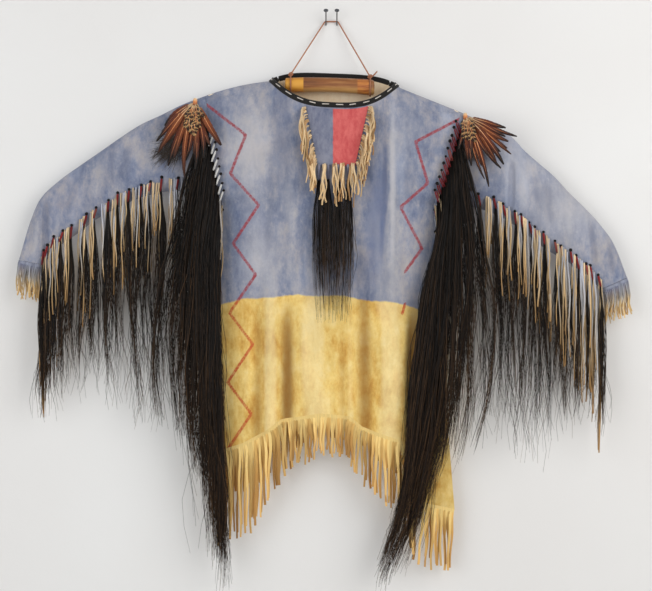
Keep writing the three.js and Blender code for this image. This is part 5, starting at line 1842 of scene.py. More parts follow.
    def build(self) -> None:
        """Builds and places the hair, wraps and thongs of this side."""
        rng = np.random.default_rng(self.seed)
        t = np.clip((np.arange(self.strands) + 0.5) / self.strands, 0.0, 1.0)
        root_z = lerp(self.start, self.armpit, t)
        steps = self.wrap_count
        root_z = lerp(root_z, lerp(self.start, self.armpit, (np.floor(t * steps) + 0.5) / steps), 0.75)
        top = self.edge(root_z) + stacked(
            self.outward * rng.uniform(1.0, 8.0, self.strands),
            rng.uniform(-8.0, -1.0, self.strands),
            rng.uniform(-26.0, -12.0, self.strands),
        )
        loose = np.clip(t + rng.normal(0.0, 0.05, self.strands), -0.03, 1.03)
        upper = self.strand_paths(loose, top, self.hang, self.y, self.ends, rng, 11.0)
        hair = [self.finishes.hair]
        obj = joined(f"{self.side}_side_locks", hair, [(upper, rng.uniform(0.0, 1.0, self.strands), 0)])
        place(obj, "hair", f"side_locks_{self.side}")
        low_t = (np.arange(self.low_strands) + 0.5) / self.low_strands
        low_top = self.edge(lerp(self.low_from, self.low_to, low_t)) + stacked(
            self.outward * rng.uniform(1.0, 6.0, self.low_strands),
            rng.uniform(-4.0, 0.0, self.low_strands),
            rng.uniform(-18.0, 0.0, self.low_strands),
        )
        loose = np.clip(low_t + rng.normal(0.0, 0.1, self.low_strands), -0.05, 1.05)
        lower = self.strand_paths(loose, low_top, self.low_hang, self.low_y, self.low_ends, rng, 7.0)
        obj = joined(
            f"{self.side}_low_side_locks", hair, [(lower, rng.uniform(0.0, 1.0, self.low_strands), 0)]
        )
        place(obj, "hair", f"side_locks_low_{self.side}")
        place(self.wraps(rng), "hair")
        place(self.thongs(rng), "raw_hide")


# ---------------------------------------------------------------- neck binding and flap


@dataclass
class NeckBinding:
    """A folded band of black cloth round the neck, with white running stitches."""

    finishes: Finishes
    samples: int = 220
    stitches: int = 22
    half_wide: float = 6.6
    half_thick: float = 2.3

    def edge(self, turn: Points, below: float) -> Points:
        """Points of the neck's edge for a cut `below` the bare edge; turn goes once round."""
        x = BODY.neck_middle - (BODY.neck_half + below) * np.cos(turn)
        front = turn <= math.pi
        z = np.where(front, BODY.neck_z(Face.FRONT, x, below), BODY.neck_z(Face.BACK, x, below))
        y = np.where(front, BODY.y(Face.FRONT, x, z), BODY.y(Face.BACK, x, z))
        return stacked(x, y, z)

    def build(self) -> None:
        """Builds and places the band and its stitches."""
        turn = np.linspace(0.0, 2.0 * math.pi, self.samples, endpoint=False)
        low, high = self.edge(turn, 11.0), self.edge(turn, 0.0)
        middle = 0.5 * (low + high)
        for _ in range(2):
            middle = 0.5 * middle + 0.25 * (np.roll(middle, 1, axis=0) + np.roll(middle, -1, axis=0))
        along = unit(np.roll(middle, -1, axis=0) - np.roll(middle, 1, axis=0))
        up = high - low
        up = unit(up - np.sum(up * along, axis=1, keepdims=True) * along)
        out = np.cross(up, along)
        heart = middle.mean(axis=0)
        out = out * np.sign(np.sum(out * (middle - heart), axis=1, keepdims=True) + 1e-6)
        sides = 14
        angle = 2.0 * math.pi * np.arange(sides) / sides
        ring_up = np.sign(np.cos(angle)) * np.abs(np.cos(angle)) ** 0.7 * self.half_wide
        ring_out = np.sign(np.sin(angle)) * np.abs(np.sin(angle)) ** 0.6 * self.half_thick
        points = (
            middle[:, None, :] + ring_up[:, None] * up[:, None, :] + ring_out[:, None] * out[:, None, :]
        )
        points = points - 1.0 * out[:, None, :]
        faces = grid_faces(self.samples, sides, loop=True)
        last = (self.samples - 1) * sides
        ring = np.arange(sides)
        following = (ring + 1) % sides
        closing = np.stack([last + ring, last + following, following, ring], axis=1)
        flat = points.reshape(-1, 3)
        faces = np.concatenate([faces, closing])
        a, b, d = flat[faces[:, 0]], flat[faces[:, 1]], flat[faces[:, 3]]
        outward = flat - np.repeat(middle, sides, axis=0)
        if np.sum(np.cross(b - a, d - a) * outward[faces[:, 0]]) < 0.0:
            faces = faces[:, ::-1]
        band = mesh_object("neck_band", [self.finishes.cloth], flat, [faces])
        place(band, "black_cloth", "neck_binding")
        place(self.thread(middle, up, out), "black_cloth")

    def thread(self, middle: Points, up: Points, out: Points) -> bpy.types.Object:
        """White running stitches along the band's outer face."""
        rng = np.random.default_rng(71)
        closed = np.concatenate([middle, middle[:1]])
        run = np.concatenate([[0.0], np.cumsum(np.linalg.norm(np.diff(closed, axis=0), axis=1))])
        pitch = run[-1] / self.stitches
        rings = 7
        u = np.linspace(-0.5, 0.5, rings)
        starts = pitch * (np.arange(self.stitches) + 0.3) + rng.uniform(-1.5, 1.5, self.stitches)
        at = (starts[:, None] + rng.uniform(15.0, 19.0, (self.stitches, 1)) * u[None, :]) % run[-1]

        def along_run(table: Points) -> Points:
            """A table's values at the stitches."""
            whole = np.concatenate([table, table[:1]])
            return np.stack([np.interp(at, run, whole[:, i]) for i in range(3)], axis=-1)

        proud = self.half_thick - 1.0 + 0.5
        dip = proud - 1.6 * (2.0 * np.abs(u)) ** 6
        line = along_run(middle) + along_run(out) * dip[None, :, None]
        line = line + along_run(up) * (
            1.4 + rng.uniform(-1.2, 1.2, (self.stitches, 1, 1)) * u[None, :, None]
        )
        wide = np.full(line.shape[:2], 1.25)
        tubes = Tubes(line, wide, 0.6 * wide, 6, along_run(up))
        return joined(
            "neck_stitches", [self.finishes.stitch], [(tubes, rng.uniform(0.0, 1.0, self.stitches), 0)]
        )


@dataclass
class NeckFlap:
    """The flap that hangs from the neck, half blue and half red, with its fringes and locks."""

    finishes: Finishes
    top_left: float = -60.0
    top_right: float = 86.0
    low_left: float = -32.0
    low_right: float = 55.0
    low_z: float = -343.0
    seed: int = 41

    def points(self, across: Points, down: Points, lift: float) -> Points:
        """Points of the flap, lifted off the front hide."""
        top_x = lerp(self.top_left, self.top_right, across)
        top = BODY.neck_z(Face.FRONT, top_x, 11.0) - 0.3 - 3.6
        z = lerp(top, self.low_z, down)
        x = lerp(
            lerp(self.top_left, self.low_left, down), lerp(self.top_right, self.low_right, down), across
        )
        return stacked(x, BODY.y(Face.FRONT, x, z, creased=True) - lift, z)

    def side_fringe(self, across: float, rng: np.random.Generator) -> tuple[Tubes, Points]:
        """Strands along one slanted side, looped over at the top."""
        n = 40
        out = 1.0 if across > 0.5 else -1.0
        t = np.sort(rng.uniform(0.0, 0.97, n) ** 1.25)
        root = self.points(np.full(n, across), t, 3.0) + stacked(
            out * rng.uniform(0.5, 3.0, n), rng.uniform(-3.0, 0.5, n), 0.0 * t
        )
        strand = Strand(
            root,
            lerp(104.0, 80.0, t) * rng.uniform(0.72, 1.08, n),
            rng.uniform(3.2, 4.6, n),
            np.full(n, 1.7),
            stacked(
                -out * lerp(7.0, 0.0, t) + rng.normal(0.0, 3.2, n), -rng.uniform(3.0, 12.0, n), 0.0
            )[:, :2],
            unit(stacked(out * lerp(0.75, 0.4, t), -0.45 + 0.0 * t, 0.55 - 1.1 * t)),
        )
        return hang(strand, 12, self.seed + int(across * 3), 3.2, 0.9), rng.uniform(0.0, 1.0, n)

    def bottom_fringe(self, rng: np.random.Generator) -> tuple[Tubes, Points]:
        """Thongs drawn through holes above the lower edge, hanging in loops."""
        bunch = np.repeat([0.13, 0.41, 0.67, 0.95], 5)
        n = len(bunch)
        t = np.clip(bunch + rng.normal(0.0, 0.035, n), 0.0, 1.0)
        root = self.points(lerp(0.03, 0.97, t), np.full(n, 1.0), 4.2) + stacked(
            0.0 * t, 0.0 * t, rng.uniform(1.0, 7.0, n)
        )
        strand = Strand(
            root,
            rng.uniform(72.0, 108.0, n),
            rng.uniform(3.8, 5.4, n),
            np.full(n, 1.7),
            stacked(rng.normal(0.0, 4.0, n), -rng.uniform(2.0, 8.0, n), 0.0)[:, :2],
            np.broadcast_to(unit(np.array([0.0, -0.9, 0.2])), (n, 3)),
        )
        return hang(strand, 12, self.seed + 3, 3.0, 0.8), rng.uniform(0.0, 1.0, n)

    def locks(self, rng: np.random.Generator) -> tuple[Tubes, Points, Points, Points]:
        """Hair of the four locks under the flap, with a tint for each strand and the wraps' ends."""
        spots = np.array([-29.0, -8.0, 15.0, 38.0])
        z = np.full(4, self.low_z + 3.0)
        top = stacked(spots, BODY.y(Face.FRONT, spots, z) - 9.0, z)
        foot = top + stacked(rng.uniform(-2.0, 2.0, 4), -1.0 + 0.0 * z, -rng.uniform(34.0, 42.0, 4))
        each = 66
        lock = np.repeat(np.arange(4), each)
        n = len(lock)
        turn, reach, draw = rng.uniform(0.0, 2.0 * math.pi, n), np.sqrt(
            rng.uniform(0.0, 1.0, n)
        ), rng.uniform(0.0, 1.0, n)
        length = 330.0 * (0.58 + 0.44 * draw**1.6)
        u = np.linspace(0.0, 1.0, 13)[None, :]
        fall = length[:, None] * u
        grow = lerp(0.25, 1.0, smooth(fall / 90.0))
        stray = rng.normal(0.0, 1.0, (n, 1)) * 7.0 * (fall / 300.0) ** 1.5
        kink = rng.exponential(1.0, (n, 1)) * np.sin(
            rng.uniform(0, 6.28, (n, 1)) + fall / rng.uniform(25.0, 60.0, (n, 1))
        )
        x = foot[lock, 0][:, None] + 14.0 * grow * (
            reach * np.cos(turn)
        )[:, None] + stray + kink * smooth(fall / 150.0)
        pull = lerp(x, 9.0 + 0.62 * (x - 9.0), smooth((fall - 180.0) / 260.0))
        y = foot[lock, 1][:, None] + 5.0 * grow * (
            reach * np.sin(turn)
        )[:, None] - 3.0 * smooth(fall / 80.0)
        thin = rng.uniform(0.45, 0.75, (n, 1)) * lerp(1.0, 0.4, u**2)
        hair = Tubes(stacked(pull, y, foot[lock, 2][:, None] + 2.0 - fall), thin, thin, 3)
        return hair, rng.uniform(0.0, 1.0, n), top, foot

    def build(self) -> None:
        """Builds and places the flap, its fringes and its locks."""
        rng = np.random.default_rng(self.seed)
        across = np.linspace(0.0, 1.0, 60)[None, :]
        down = np.linspace(0.0, 1.0, 76)[:, None]
        grid = self.points(across, down, 3.0)
        grid[..., 1] -= 1.2 * np.sin(3.0 * down + 5.0 * across) * (4.0 * across * (1.0 - across)) * down
        finishes = [self.finishes.bib, self.finishes.raw]
        flap = sheet("neck_flap", finishes, grid, np.array([0.0, -1.0, 0.0]), {})
        place(flap, "red_blue_hide", "bib")
        for across_at, side in ((0.0, "left"), (1.0, "right")):
            tubes, tint = self.side_fringe(across_at, rng)
            obj = joined(f"flap_fringe_{side}", [self.finishes.bib_fringe], [(tubes, tint, 0)])
            place(obj, "raw_hide", f"bib_fringe_{side}")
        tubes, tint = self.bottom_fringe(rng)
        obj = joined("flap_fringe_bottom", [self.finishes.bib_fringe], [(tubes, tint, 0)])
        place(obj, "raw_hide", "bib_fringe_bottom")
        hair, shade, top, foot = self.locks(rng)
        wraps = tapered(top, foot, 3.6, 3.2, 6, 8)
        finishes = [self.finishes.hair, self.finishes.grey_quill]
        obj = joined("flap_locks", finishes, [(hair, shade, 0), (wraps, rng.uniform(0.0, 1.0, 4), 1)])
        place(obj, "hair", "bib_locks")


# ---------------------------------------------------------------- feathers


@dataclass(frozen=True)
class FeatherFan:
    """A fan of feathers from one knot on a shoulder, with a barred plume and down.

    Args:
        apex: The knot.
        angles: Degrees from straight down towards +X, first and last feather.
        lengths: Length of each feather.
        plume: Degrees of the barred plume, and its length and width.
        down: Degrees, distance from the knot and reach of the tuft of down.
    """

    finishes: Finishes
    side: str
    apex: tuple[float, float, float]
    angles: tuple[float, float]
    lengths: tuple[float, ...]
    plume: tuple[float, float, float]
    down: tuple[float, float, float]
    width: float
    seed: int
    barbs: int = 38

    def point(self, degrees: Points, r: Points, lift: Points) -> Points:
        """Points of the fan by angle, distance from the knot and height over the sleeve."""
        a = np.radians(degrees)
        y = self.apex[1] - 40.0 * smooth(r / 55.0) * 0.9 - 0.05 * r - lift
        return stacked(self.apex[0] + r * np.sin(a), y, self.apex[2] - r * np.cos(a))

    def feather(
        self, degrees: float, start: float, length: float, width: float, lift: float,
        rng: np.random.Generator, barbs: int
    ) -> tuple[Tubes, Tubes, Points]:
        """One feather.

        Args:
            degrees: Its direction from straight down towards +X.
            start: Distance of its root from the knot.
            length: Distance of its tip from the knot.
            width: Its full width.
            lift: Height over the fan's lowest layer.
            rng: Source of chance.
            barbs: Barbs on each side.

        Returns:
            The shaft, the barbs and the place of each barb along the feather.
        """
        bend = rng.uniform(-7.0, 7.0)
        u = np.linspace(0.0, 1.0, 9)
        middle = self.point(
            degrees + bend * u**2, start + (length - start) * u, lift + 2.0 * np.sin(3.0 * u)
        )
        shaft = Tubes(middle[None], lerp(1.4, 0.35, u)[None], lerp(1.3, 0.3, u)[None], 5)
        v = np.repeat(np.linspace(0.10, 0.985, barbs), 2)
        side = np.tile([-1.0, 1.0], barbs)
        base = np.stack([np.interp(v, u, middle[:, i]) for i in range(3)], axis=1)
        onward = np.stack(
            [np.interp(v, u, unit(np.gradient(middle, axis=0))[:, i]) for i in range(3)], axis=1
        )
        across = unit(np.cross(onward, np.array([0.0, 1.0, 0.0]))) * side[:, None]
        shape = np.sin(math.pi * np.clip(0.12 + 0.86 * v, 0.0, 1.0)) ** 0.55
        reach = 0.5 * width * shape * rng.uniform(0.9, 1.06, len(v))
        s = np.linspace(0.0, 1.0, 4)[None, :, None]
        forward = reach[:, None, None] * 0.95
        paths = (
            base[:, None, :]
            + across[:, None, :] * reach[:, None, None] * s
            + onward[:, None, :] * forward * s**1.3
        )
        paths = paths + np.array([0.0, 1.0, 0.0]) * (1.6 * s**2)
        spacing = (length - start) * 0.885 / barbs
        wide = np.broadcast_to(0.62 * spacing * np.array([1.0, 1.1, 1.0, 0.45]), (len(v), 4))
        thin = np.full((len(v), 4), 0.28)
        flat = np.repeat(onward[:, None, :], 4, axis=1)
        return shaft, Tubes(paths, wide, thin, 4, flat), v

    def tuft(self, rng: np.random.Generator) -> Tubes:
        """A tuft of soft dark down."""
        degrees, distance, reach = self.down
        n = 420
        spot = self.point(
            degrees + rng.normal(0.0, 6.0, n), distance * rng.uniform(0.6, 1.0, n),
            rng.uniform(-8.0, 2.0, n)
        )
        heading = np.radians(2.0 * degrees + rng.normal(0.0, 24.0, n))
        u = np.linspace(0.0, 1.0, 5)[None, :]
        size = reach * rng.uniform(0.3, 1.0, (n, 1))
        x = spot[:, :1] + size * u * np.sin(heading)[:, None] + 2.0 * np.sin(5.0 * u + spot[:, :1])
        z = spot[:, 2:] - size * u * np.cos(heading)[:, None]
        y = spot[:, 1:2] + rng.uniform(-5.0, 5.0, (n, 1)) * u
        thin = 0.55 * lerp(1.0, 0.3, u) * np.ones((n, 1))
        return Tubes(stacked(x, y, z), thin, thin, 3)

    def build(self) -> None:
        """Builds and places the whole cluster."""
        rng = np.random.default_rng(self.seed)
        points, faces, slots = [], [], []
        values: dict[str, list[Points]] = {"along": [], "tint": [], "kind": []}
        base = 0

        def add(tubes: Tubes, along: Points | None, tint: float, kind: float, slot: int) -> None:
            """Adds one set of strands to the cluster's mesh."""
            nonlocal base
            corners = tubes.points()
            for face_set in tubes.faces():
                faces.append(face_set + base)
                slots.append(np.full(len(face_set), slot))
            own = tubes.values(np.full(len(tubes.paths), tint))
            values["along"].append(own["along"] if along is None else tubes.spread(along))
            values["tint"].append(own["tint"])
            values["kind"].append(np.full(len(corners), kind))
            points.append(corners)
            base += len(corners)

        count = len(self.lengths)
        for i, length in enumerate(self.lengths):
            t = (i + 0.5) / count
            degrees = lerp(self.angles[0], self.angles[1], t) + rng.normal(0.0, 2.0)
            width = self.width * rng.uniform(0.7, 1.25)
            shaft, barbs, v = self.feather(degrees, 10.0, length, width, 1.7 * (i % 4), rng, self.barbs)
            tint = float(rng.uniform(0.0, 1.0))
            add(shaft, None, tint, 0.0, 1)
            add(barbs, v, tint, 0.0, 0)
        degrees, plume_length, plume_width = self.plume
        for row in range(8):
            for k in range(4):
                off = (k - 1.5 + 0.5 * (row % 2)) / 2.0 + rng.normal(0.0, 0.12)
                start = lerp(12.0, plume_length - 24.0, row / 7.0) + rng.normal(0.0, 3.0)
                angle = degrees + math.degrees(
                    math.atan2(off * plume_width * 0.5, start + 24.0)
                ) + rng.normal(0.0, 6.0)
                reach = start + rng.uniform(19.0, 30.0)
                lift = 11.0 - 0.5 * row + rng.uniform(-0.8, 0.8)
                shaft, barbs, v = self.feather(angle, start, reach, rng.uniform(10.0, 15.0), lift, rng, 12)
                add(barbs, v + rng.uniform(-0.1, 0.1), 0.5, 1.0, 0)
                add(shaft, None, 0.2, 1.0, 1)
        tuft = self.tuft(rng)
        add(tuft, None, 0.35, 2.0, 0)
        binding = tapered(
            np.array([self.apex]) + np.array([[0.0, -3.0, 5.0]]),
            self.point(np.array([degrees]), np.array([14.0]), np.array([2.0])), 5.0, 5.5, 6, 10
        )
        add(binding, None, 0.1, 1.0, 1)
        merged = {key: np.concatenate(numbers) for key, numbers in values.items()}
        finishes = [self.finishes.feather, self.finishes.quill_shaft]
        slot_numbers = np.concatenate(slots)
        obj = mesh_object(
            f"{self.side}_feather_fan", finishes, np.concatenate(points), faces, merged, slot_numbers
        )
        place(obj, "feather", f"feathers_{self.side}")


# ---------------------------------------------------------------- rod, thong and pins


@dataclass(frozen=True)
class HangingRod:
    """The bowed rod inside the neck."""

    finishes: Finishes
    left: float = -109.0
    right: float = 101.0
    left_z: float = -149.0
    right_z: float = -155.0
    radius: float = 18.0
    bow: float = 4.0
    profile: tuple[tuple[float, float], ...] = (
        (0.72, 0.0), (0.88, 0.004), (0.94, 0.012), (0.96, 0.05), (0.95, 0.12), (0.965, 0.2), (0.95, 0.3),
        (0.935, 0.4), (0.94, 0.5), (0.945, 0.6), (0.96, 0.7), (0.98, 0.8), (1.02, 0.88), (1.03, 0.93),
        (1.01, 0.97), (0.97, 0.988), (0.75, 1.0),
    )

    def z(self, x: float) -> float:
        """Height of the rod's axis at x."""
        t = (x - self.left) / (self.right - self.left)
        return lerp(self.left_z, self.right_z, t) + self.bow * math.sin(math.pi * t)

    def build(self) -> None:
        """Draws the rod out ring by ring from one end."""
        start = self.profile[0]
        bpy.ops.mesh.primitive_circle_add(
            vertices=40,
            radius=start[0] * self.radius * MM,
            fill_type="NGON",
            location=(self.left * MM, BODY.mid_y * MM, self.z(self.left) * MM),
            rotation=(0.0, math.pi / 2.0, 0.0),
        )
        obj = bpy.context.object
        obj.name = obj.data.name = "hanging_rod"
        bpy.ops.object.transform_apply(location=True, rotation=True, scale=True)
        bpy.ops.object.mode_set(mode="EDIT")
        bpy.ops.mesh.select_all(action="SELECT")
        share, at = start
        for next_share, next_at in self.profile[1:]:
            x, next_x = (lerp(self.left, self.right, a) for a in (at, next_at))
            shift = ((next_x - x) * MM, 0.0, (self.z(next_x) - self.z(x)) * MM)
            bpy.ops.mesh.extrude_region_move(TRANSFORM_OT_translate={"value": shift})
            middle = (next_x * MM, BODY.mid_y * MM, self.z(next_x) * MM)
            bpy.ops.transform.resize(
                value=(1.0, next_share / share, next_share / share), center_override=middle
            )
            share, at = next_share, next_at
        bpy.ops.mesh.select_all(action="SELECT")
        bpy.ops.mesh.normals_make_consistent(inside=False)
        bpy.ops.object.mode_set(mode="OBJECT")
        bpy.ops.object.shade_smooth_by_angle(angle=math.radians(50.0))
        obj.data.materials.append(self.finishes.wood)
        place(obj, "wood", "rod")


@dataclass(frozen=True)
class HangingThong:
    """The thong round the rod, through the hide and over the two pins."""

    finishes: Finishes
    rod: HangingRod
    radius: float = 1.75
    left_x: float = -96.0
    right_x: float = 91.0
    hole_drop: float = 16.0
    pins_apart: float = 26.0
    pin_radius: float = 1.5
    tilt: float = math.pi / 4.0
    seat: float = 7.0
    seam: float = 0.3

    def knot(self, side: int) -> Points:
        """Middle of the knot above the rod."""
        x = self.left_x if side < 0 else self.right_x
        return np.array([x, BODY.mid_y + 3.0, self.rod.z(x) + self.rod.radius + 8.0])

    def pin_turn(self, side: int) -> list[Points]:
        """Points round the top of one pin, from its outer side to its top."""
        clear = self.pin_radius + self.radius + self.seam
        along = np.array([0.0, -math.sin(self.tilt), math.cos(self.tilt)])
        over = np.array([0.0, math.cos(self.tilt), math.sin(self.tilt)])
        seat = np.array([side * self.pins_apart / 2.0, 0.0, 0.0]) + along * self.seat
        turns = [math.radians(a) for a in (57, 42, 28, 14, 0)]
        return [
            seat + over * clear * math.cos(a) + np.array(
                [side * clear * math.sin(a), 0.0, 0.0]
            ) for a in turns
        ]

    def loop(self, x: float) -> Points:
        """The turn round the rod, over the back edge of the neck and back through the hide."""
        reach = self.rod.radius * 1.03 + self.radius + self.seam
        z = self.rod.z(x)
        over = float(BODY.neck_z(Face.BACK, np.array(x), 0.0)) - z + 0.8 + self.radius + self.seam
        hide = float(BODY.y(Face.BACK, np.array(x), np.array(z - self.hole_drop))) - BODY.mid_y
        behind = hide + 0.8 + self.radius + self.seam
        drop = self.hole_drop
        corners = [
            (-reach, 0.0), (-reach * 0.8, reach * 0.62), (-reach * 0.4, reach * 0.95),
            (hide - 10.0, max(over, reach)), (hide - 1.0, over + 1.0), (behind, over - 4.0),
            (behind + 1.0, over - 12.0), (behind + 0.5, 4.0 - drop), (behind - 1.5, 0.5 - drop),
            (hide - 1.0, -drop), (hide - 6.0, -drop - 1.0), (reach * 0.5, -reach * 0.9),
            (0.0, -reach), (-reach * 0.5, -reach * 0.87), (-reach * 0.87, -reach * 0.5),
        ]
        return np.array([(x, BODY.mid_y + y, z + dz) for y, dz in corners])

    def rope(self, path: Points, rings: int, closed: bool = False) -> Tubes:
        """A round cord along a path, resampled evenly and softened."""
        if closed:
            path = np.concatenate([path, path[:1]])
        run = np.concatenate([[0.0], np.cumsum(np.linalg.norm(np.diff(path, axis=0), axis=1))])
        at = np.linspace(0.0, run[-1], rings)
        line = np.stack([np.interp(at, run, path[:, i]) for i in range(3)], axis=1)
        wide = np.full((1, rings), self.radius)
        across = np.array([1.0, 0.0, 0.0]) if closed else np.array([0.0, 1.0, 0.0])
        return Tubes(line[None], wide, 0.92 * wide, 10, across)

    def build(self) -> None:
        """Builds and places the thong with its knots and free end."""
        rng = np.random.default_rng(97)
        left, right = self.knot(-1), self.knot(1)
        path = np.array([left, *self.pin_turn(-1), *self.pin_turn(1)[::-1], right])
        lead = self.rope(path, 90)
        tail = self.rope(
            np.array(
                [right, right + (5.0, -2.0, 0.5), right + (9.0, -3.0, 3.0), right + (17.0, -4.0, 12.0)]
            ),
            12
        )
        groups = [(lead, np.array([0.4]), 0), (tail, np.array([0.5]), 0)]
        for x in (self.left_x, self.right_x):
            groups.append((self.rope(self.loop(x), 60, closed=True), np.array([0.45]), 0))
        for middle in (left, right):
            for turn in range(4):
                a = np.linspace(0.0, 2.0 * math.pi, 19)
                tilt = turn * math.pi / 4.0 + rng.uniform(-0.2, 0.2)
                ring = stacked(
                    np.cos(a) * 4.6, np.sin(a) * 3.2 * math.cos(tilt),
                    np.sin(a) * 4.0 * math.sin(tilt) + np.cos(a) * 1.2
                )
                groups.append((self.rope(middle + ring, 24), np.array([0.3 + 0.1 * turn]), 0))
        place(joined("hanging_thong", [self.finishes.thong], groups), "thong", "hang_cord")


def dress_pins(finishes: Finishes) -> None:
    """Gives the two wall pins, whose shape is the frame's own, their steel."""
    for name in ("pin_left", "pin_right"):
        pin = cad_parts[name]
        pin.data.materials.clear()
        pin.data.materials.append(finishes.steel)


# ---------------------------------------------------------------- studio


@dataclass(frozen=True)
class Studio:
    """Pale wall and floor, soft lights and the camera."""

    wall_y: float = 1.0
    floor_z: float = -1500.0
    camera_at: tuple[float, float, float] = (-12.9, -3500.0, -645.0)
    frame_width: float = 1532.0
    frame_y: float = -50.0
    sensor: float = 36.0

    def plane(
        self, name: str, corners: list[tuple[float, float, float]], material: bpy.types.Material
    ) -> bpy.types.Object:
        """A flat stage piece."""
        face = [np.array([[0, 1, 2, 3]])]
        obj = mesh_object(name, [material], np.array(corners, dtype=float), face, smooth_faces=False)
        return obj

    def wall_paint(self) -> bpy.types.Material:
        """White wall paint that is clear from behind."""
        material = bpy.data.materials.new("wall paint")
        material.use_nodes = True
        graph = Graph(material.node_tree)
        shader = material.node_tree.nodes["Principled BSDF"]
        end = material.node_tree.nodes["Material Output"]
        tone = graph.ramp(graph.noise(1.4, 2.0, 0.4), [(0.3, (226, 224, 222)), (0.7, (232, 232, 231))])
        graph.feed(shader.inputs["Base Color"], tone)
        graph.feed(shader.inputs["Normal"], graph.bump(graph.noise(160.0, 3.0, 0.6), 0.15, 0.001))
        shader.inputs["Roughness"].default_value = 0.95
        clear = graph.node("ShaderNodeBsdfTransparent")
        behind = graph.node("ShaderNodeNewGeometry").outputs["Backfacing"]
        mixed = graph.node("ShaderNodeMixShader", {0: behind, 1: shader.outputs[0], 2: clear.outputs[0]})
        graph.feed(end.inputs["Surface"], mixed.outputs[0])
        return material

    def light(
        self, name: str, at: tuple[float, float, float], aim: tuple[float, float, float], size: float,
        power: float, colour: tuple[float, float, float]
    ) -> None:
        """A square soft light at a point in metres, aimed at another."""
        data = bpy.data.lights.new(name, "AREA")
        data.shape = "SQUARE"
        data.size = size
        data.energy = power
        data.color = colour
        obj = bpy.data.objects.new(name, data)
        bpy.context.scene.collection.objects.link(obj)
        heading = np.array(aim) - np.array(at)
        obj.location = at
        pitch = math.atan2(math.hypot(heading[0], heading[1]), -heading[2])
        obj.rotation_euler = (pitch, 0.0, math.atan2(heading[0], -heading[1]) + math.pi)
        obj.visible_camera = False

    def build(self) -> None:
        """Builds the stage, the lights and the camera."""
        y, floor, half = self.wall_y, self.floor_z, 6000.0
        wall = self.plane(
            "wall", [(-half, y, floor), (half, y, floor), (half, y, 4000.0), (-half, y, 4000.0)],
            self.wall_paint()
        )
        for kind in ("diffuse", "glossy", "transmission", "shadow"):
            setattr(wall, f"visible_{kind}", False)
        ground = bpy.data.materials.new("floor paint")
        ground.use_nodes = True
        graph = Graph(ground.node_tree)
        tone = graph.ramp(graph.noise(2.0, 3.0, 0.5), [(0.3, (214, 212, 208)), (0.7, (224, 223, 220))])
        graph.feed(ground.node_tree.nodes["Principled BSDF"].inputs["Base Color"], tone)
        ground.node_tree.nodes["Principled BSDF"].inputs["Roughness"].default_value = 0.9
        self.plane(
            "floor",
            [(-half, -half, floor), (half, -half, floor), (half, half, floor), (-half, half, floor)], ground
        )
        self.light("key light", (2.4, -2.5, 0.55), (0.0, 0.0, -0.7), 2.6, 67.0, (1.0, 0.985, 0.965))
        self.light("fill light", (-2.6, -3.0, -0.4), (0.0, 0.0, -0.7), 2.8, 62.0, (0.98, 0.99, 1.0))
        self.light("back light", (0.6, 3.4, 0.8), (0.0, 0.0, -0.6), 2.4, 50.0, (1.0, 0.99, 0.97))
        world = bpy.data.worlds.new("studio")
        world.use_nodes = True
        world.node_tree.nodes["Background"].inputs["Color"].default_value = (0.97, 0.98, 1.0, 1.0)
        world.node_tree.nodes["Background"].inputs["Strength"].default_value = 0.44
        scene = bpy.context.scene
        scene.world = world
        scene.view_settings.view_transform = "Standard"
        camera = bpy.data.cameras.new("camera")
        camera.sensor_width = self.sensor
        camera.lens = self.sensor * (self.frame_y - self.camera_at[1]) / self.frame_width
        obj = bpy.data.objects.new("camera", camera)
        scene.collection.objects.link(obj)
        obj.location = tuple(v * MM for v in self.camera_at)
        obj.rotation_euler = (math.pi / 2.0, 0.0, 0.0)
        scene.camera = obj


# ---------------------------------------------------------------- the shirt

# Columns: place from the body to the cuff, length of the hair, length of the thongs, dense share
LEFT_ROW = np.array([
    (0.0, 560, 210, 0.42), (0.35, 550, 220, 0.44), (0.5, 460, 215, 0.55), (0.8, 380, 260, 0.78),
    (1.0, 400, 350, 0.86),
])
RIGHT_ROW = np.array([
    (0.0, 590, 200, 0.42), (0.4, 560, 210, 0.46), (0.6, 440, 250, 0.66), (0.85, 350, 310, 0.8),
    (1.0, 385, 370, 0.86),
])

# Columns: height, x of the outermost and of the innermost hair
LEFT_HANG = np.array([
    (-420, -356, -262), (-600, -402, -262), (-830, -408, -258), (-1000, -396, -254), (-1300, -312, -244),
])
RIGHT_HANG = np.array([
    (-420, 346, 246), (-656, 374, 212), (-891, 366, 182), (-1008, 340, 174), (-1135, 276, 160),
    (-1300, 204, 112),
])
LOW_LEFT_HANG = np.array([(-450, -302, -266), (-900, -300, -262), (-1300, -296, -252)])
LOW_RIGHT_HANG = np.array([
    (-450, 296, 258), (-800, 276, 226), (-1000, 246, 204), (-1135, 230, 194), (-1300, 196, 120),
])


def corners(box: tuple) -> list[list[float]]:
    """A box's two corners as plain lists."""
    return [[float(v) for v in corner] for corner in box]


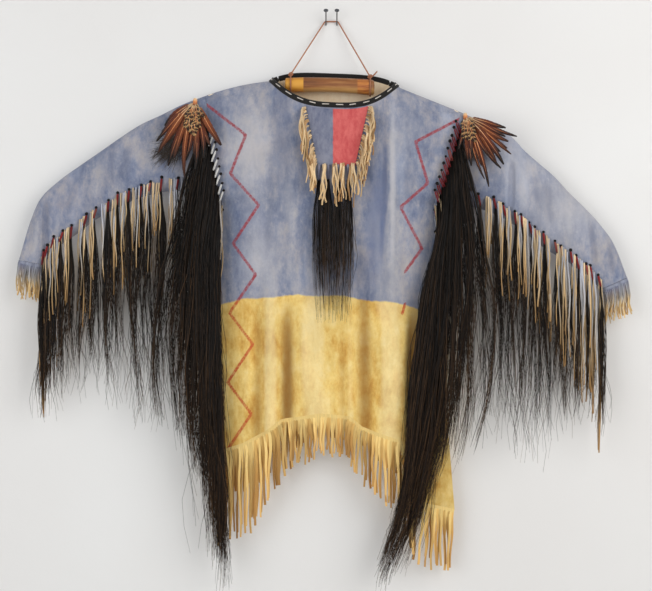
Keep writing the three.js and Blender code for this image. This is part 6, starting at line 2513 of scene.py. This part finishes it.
def main() -> None:
    """Builds every piece of the shirt, then the studio."""
    logging.basicConfig(level=logging.INFO, format="%(message)s")
    finishes = Finishes()
    HideBody(finishes).build()
    HideSleeve(
        LEFT, finishes, name="left_sleeve_hide", node="sleeve_left", flat=(0.52, 0.51), area=0.160
    ).build()
    HideSleeve(
        RIGHT, finishes, name="right_sleeve_hide", node="sleeve_right", flat=(0.52, 0.51), area=0.153
    ).build()
    HemFringe(
        Face.FRONT, finishes, name="front_hem_fringe", node="hem_fringe_front", count=112, seed=51
    ).build()
    HemFringe(
        Face.BACK, finishes, name="back_hem_fringe", node="hem_fringe_back", count=84, seed=52
    ).build()
    CuffFringe(LEFT, finishes, name="left_cuff_fringe", node="cuff_fringe_left", seed=61).build()
    CuffFringe(RIGHT, finishes, name="right_cuff_fringe", node="cuff_fringe_right", seed=62).build()
    LockRow(LEFT, finishes, "left", LEFT_ROW, count=15, seed=81).build()
    LockRow(
        RIGHT,
        finishes,
        "right",
        RIGHT_ROW,
        count=15,
        seed=82,
        strands=60,
        fullness=0.45,
        widest=4.6,
        depth=(-13.0, 4.0),
    ).build()
    SideHair(
        finishes,
        "left",
        hang=LEFT_HANG,
        low_hang=LOW_LEFT_HANG,
        start=-196.0,
        y=-78.0,
        low_y=-60.0,
        ends=(-950.0, -1290.0),
        low_ends=(-1240.0, -1300.0),
        wrap=finishes.white_quill,
        seed=31,
        wrap_from=-276.0,
        wrap_count=8,
        paired=False,
    ).build()
    SideHair(
        finishes,
        "right",
        hang=RIGHT_HANG,
        low_hang=LOW_RIGHT_HANG,
        start=-236.0,
        y=-79.0,
        low_y=-59.0,
        ends=(-985.0, -1290.0),
        low_ends=(-1270.0, -1310.0),
        wrap=finishes.red_quill,
        seed=32,
        wrap_from=-246.0,
        wrap_count=11,
        paired=True,
    ).build()
    NeckBinding(finishes).build()
    NeckFlap(finishes).build()
    FeatherFan(
        finishes,
        "left",
        apex=(-320.0, -46.6, -187.0),
        angles=(-54.0, 32.0),
        lengths=(92, 118, 132, 150, 122, 168, 146, 184, 118, 150, 164, 128, 116, 140, 104, 126),
        plume=(-4.0, 80.0, 26.0),
        down=(-24.0, 150.0, 44.0),
        width=12.5,
        seed=91,
    ).build()
    FeatherFan(
        finishes,
        "right",
        apex=(314.0, -47.2, -222.0),
        angles=(-8.0, 67.0),
        lengths=(84, 108, 122, 96, 158, 126, 178, 112, 150, 132, 118, 146, 124, 140, 116, 104, 128, 96),
        plume=(4.0, 60.0, 15.0),
        down=(10.0, 96.0, 26.0),
        width=10.0,
        seed=92,
    ).build()
    rod = HangingRod(finishes)
    rod.build()
    HangingThong(finishes, rod).build()
    dress_pins(finishes)
    Studio().build()


if __name__ == "__main__":
    main()
